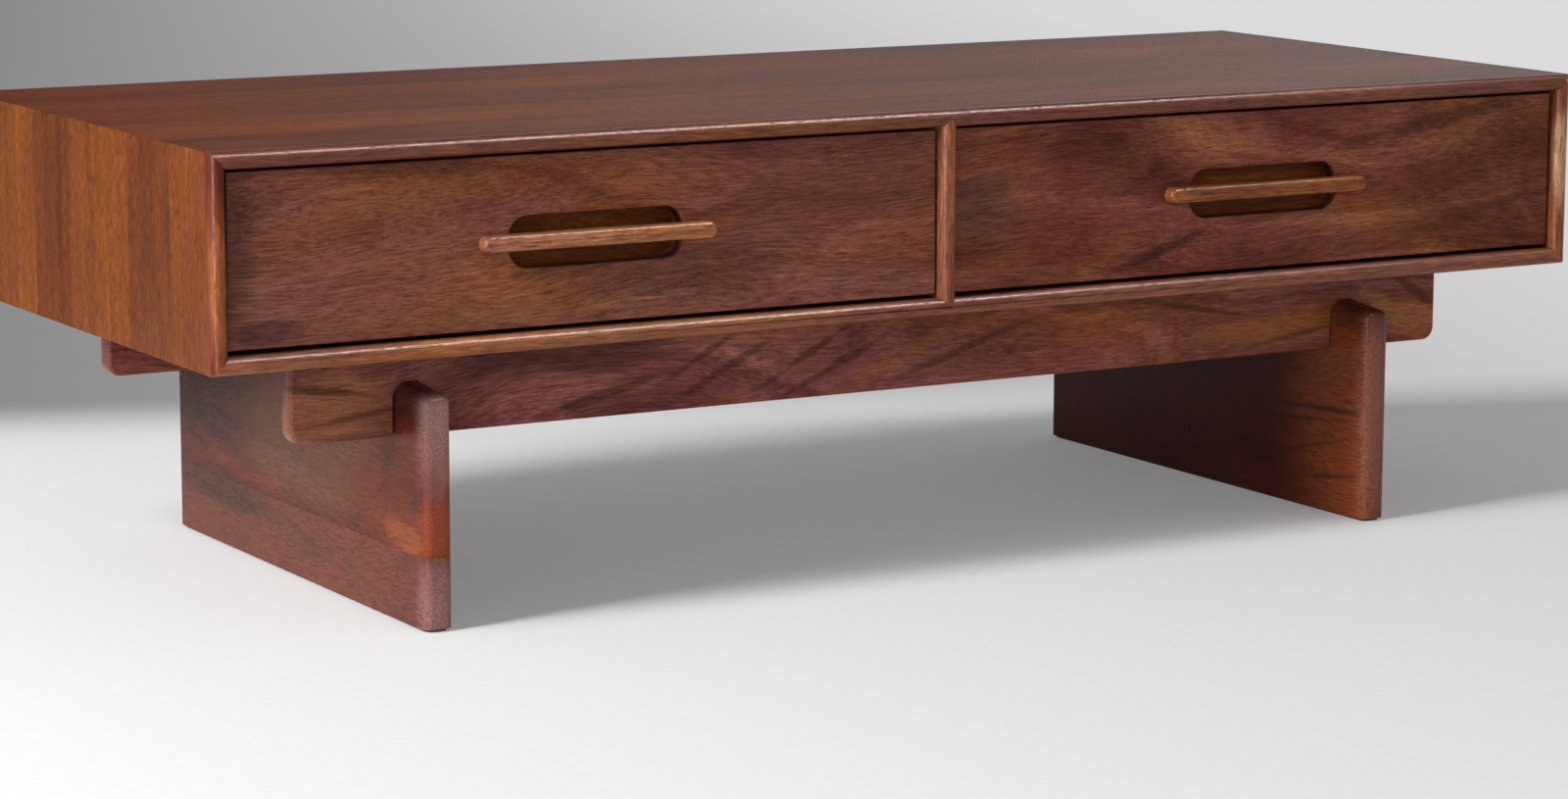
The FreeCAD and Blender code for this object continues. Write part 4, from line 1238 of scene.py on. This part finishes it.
@dataclass
class Studio:
    """A pale floor, soft lamps and the camera at the photograph's viewing angle.

    The key lamp is tall and far off at the left. The overhead one is long and high over the front, and
    the strip is narrow and low at the left: both are there for the lines that they draw along the rounds.
    The floor turns into the backdrop between the two distances of back, counted in metres along back_way,
    and the backdrop's greys run between those of across, along across_way. Gloss meets the paler surround
    where a direction leans to the right by aside and stays under low.
    """

    lens_mm: float = 100.6
    sensor_mm: float = 36.0
    yaw: float = 30.168
    pitch: float = 9.598
    roll: float = -0.156
    camera_mm: tuple[float, float, float] = (-2008.3, -3451.6, 791.2)
    lamps: tuple[Lamp, ...] = (
        Lamp("key", (-4.4, -0.66, 2.84), (0.0, 0.0, 0.2), (1.05, 3.1), 318.0, gloss_only=False),
        Lamp("overhead", (1.4, -1.6, 3.3), (0.0, -0.2, 0.3), (2.4, 0.7), 250.0),
        Lamp("strip", (-2.16, -1.7, 0.7), (0.0, -0.28, 0.3), (0.45, 1.5), 76.0),
    )
    floor_size: float = 60.0
    paints: tuple[str, str] = ("#efefef", "#f6f6f6")
    blotches: float = 90.0
    bounce: str = "#e0e0e0"
    # Painted light: the share of the near floor that glows in its own colour and lifts its shadow
    painted_floor_glow: float = 0.17
    back_way: tuple[float, float, float] = (0.35, 1.0, 0.0)
    back: tuple[float, float] = (0.42, 0.86)
    across_way: tuple[float, float, float] = (0.936, -0.352, 0.0)
    across: tuple[float, float] = (-0.8, 2.0)
    # Painted light and shade: the backdrop glows in these greys, darker at the left where the light falls off
    backdrop: tuple[tuple[float, str], ...] = (
        (0.0, "#8a8989"), (0.35, "#adabab"), (0.65, "#cdcbcc"), (0.85, "#dad8d9"), (1.0, "#dddbdc"),
    )
    horizon: float = 1.3
    zenith: float = 0.12
    dome_rise: float = 0.6
    tilt: float = -0.2
    surround: tuple[str, str] = ("#343434", "#eeeeee")
    aside: tuple[float, float] = (0.3, 0.75)
    low: tuple[float, float] = (0.5, 0.25)
    high_share: float = 0.25

    def build(self) -> None:
        """Set up the camera, the floor, the lamps and the world."""
        self.aim_camera()
        self.lay_floor()
        for lamp in self.lamps:
            lamp.hang()
        self.light_world()

    def aim_camera(self) -> None:
        """Place the camera, which looks along +Y turned to the right by yaw and down by pitch."""
        yaw, pitch, roll = (math.radians(angle) for angle in (self.yaw, self.pitch, self.roll))
        data = bpy.data.cameras.new("camera")
        data.lens, data.sensor_width = self.lens_mm, self.sensor_mm
        item = bpy.data.objects.new("camera", data)
        bpy.context.scene.collection.objects.link(item)
        turn = Matrix.Rotation(-yaw, 4, "Z") @ Matrix.Rotation(math.pi / 2 - pitch, 4, "X")
        turn = turn @ Matrix.Rotation(-roll, 4, "Z")
        item.matrix_world = Matrix.Translation(Vector(self.camera_mm) * MM) @ turn
        bpy.context.scene.camera = item

    def seen(self, tree: Tree) -> Socket:
        """Tell the rays that show a surface, also in gloss or through glass, from those that light one.

        Args:
            tree: The node tree.

        Returns:
            1 for a ray that shows it, else 0.
        """
        path = add_node(tree, "LightPath").outputs
        seen = path["Is Camera Ray"]
        for ray in ("Is Glossy Ray", "Is Transmission Ray"):
            seen = add_node(tree, "Math", {0: seen, 1: path[ray]}, operation="MAXIMUM").outputs[0]
        return seen

    def lay_floor(self) -> None:
        """Lay the pale floor, which fades into a glowing grey backdrop behind the table, painted darker at the
        left.

        Rays that light the table meet a darker floor, so that it doesn't throw all the light back. A thin
        share of the floor glows in its own colour, painted light that keeps the shadow on it as soft as in a
        bright room.
        """
        lay_down_tools()
        bpy.ops.mesh.primitive_plane_add(size=self.floor_size, location=(0, 0, 0))
        floor = bpy.context.object
        floor.name = "floor"
        made, tree = new_material("painted_floor")
        place = add_node(tree, "TexCoord").outputs["Object"]
        back = add_node(tree, "VectorMath", {0: place, 1: self.back_way},
                        operation="DOT_PRODUCT").outputs["Value"]
        back = add_node(tree, "MapRange", {0: back, 1: self.back[0], 2: self.back[1]},
                        interpolation_type="SMOOTHSTEP").outputs[0]
        across = add_node(tree, "VectorMath", {0: place, 1: self.across_way},
                          operation="DOT_PRODUCT").outputs["Value"]
        across = add_node(tree, "MapRange", {0: across, 1: self.across[0], 2: self.across[1]}).outputs[0]
        backdrop = add_node(tree, "ValToRGB", {0: across}, stops=self.backdrop).outputs[0]
        noise = add_node(tree, "TexNoise", {"Vector": place, "Scale": self.blotches,
                                            "Detail": 4.0}).outputs["Fac"]
        dark, pale = (linear(paint) for paint in self.paints)
        paint = add_node(tree, "Mix", {0: noise, 6: dark, 7: pale}, data_type="RGBA").outputs[2]
        seen = self.seen(tree)
        colour = add_node(tree, "Mix", {0: seen, 6: linear(self.bounce), 7: paint},
                          data_type="RGBA").outputs[2]
        shader = add_node(tree, "BsdfPrincipled", {"Base Color": colour, "Roughness": 0.7,
                                                   "Specular IOR Level": 0.1}).outputs[0]
        # Painted light: the backdrop glows in its greys, and a thin share of the near floor glows in its own
        # colour
        glow = add_node(tree, "Mix", {0: back, 6: colour, 7: backdrop}, data_type="RGBA").outputs[2]
        glow = add_node(tree, "Emission", {"Color": glow, "Strength": 1.0}).outputs[0]
        share = add_node(tree, "Math", {0: back, 1: self.painted_floor_glow}, operation="MAXIMUM").outputs[0]
        share = add_node(tree, "Math", {0: share, 1: seen}, operation="MULTIPLY").outputs[0]
        both = add_node(tree, "MixShader", {0: share, 1: shader, 2: glow}).outputs[0]
        add_node(tree, "OutputMaterial", {"Surface": both})
        floor.data.materials.append(made)

    def light_world(self) -> None:
        """Light the shadows with a pale dome, and show gloss a dim surround, lighter low at the right."""
        world = bpy.data.worlds.new("studio")
        bpy.context.scene.world = world
        world.use_nodes = True
        tree = world.node_tree
        tree.nodes.clear()
        way = add_node(tree, "TexCoord").outputs["Generated"]
        parts = add_node(tree, "SeparateXYZ", {0: way}).outputs
        rise = add_node(tree, "MapRange", {0: parts["Z"], 1: 0.0, 2: self.dome_rise}).outputs[0]
        horizon, zenith = ((level,) * 3 + (1.0,) for level in (self.horizon, self.zenith))
        dome = add_node(tree, "Mix", {0: rise, 6: horizon, 7: zenith}, data_type="RGBA").outputs[2]
        lean = add_node(tree, "Math", {0: parts["Y"], 1: self.tilt, 2: 1.0},
                        operation="MULTIPLY_ADD").outputs[0]
        dome = add_node(tree, "VectorMath", {0: dome, "Scale": lean}, operation="SCALE").outputs[0]
        aside = add_node(tree, "MapRange", {0: parts["X"], 1: self.aside[0], 2: self.aside[1]}).outputs[0]
        low = add_node(tree, "MapRange", {0: parts["Z"], 1: self.low[0], 2: self.low[1],
                                          3: self.high_share}).outputs[0]
        pale = add_node(tree, "Math", {0: aside, 1: low}, operation="MULTIPLY").outputs[0]
        surround = add_node(tree, "Mix", {0: pale, 6: linear(self.surround[0]), 7: linear(self.surround[1])},
                            data_type="RGBA").outputs[2]
        grey = add_node(tree, "Mix", {0: self.seen(tree), 6: dome, 7: surround}, data_type="RGBA").outputs[2]
        light = add_node(tree, "Background", {"Color": grey, "Strength": 1.0})
        add_node(tree, "OutputWorld", {"Surface": light.outputs[0]})


def main() -> None:
    """Load the frame, and build every piece and the studio."""
    logging.basicConfig(level=logging.INFO, format="%(name)s: %(message)s")
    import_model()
    bpy.context.scene.view_settings.view_transform = "Standard"
    Studio().build()
    CaseShell().build()
    Base().build()
    for side in ("left", "right"):
        Drawer(side).build()
    Fastenings().build()


if __name__ == "__main__":
    main()
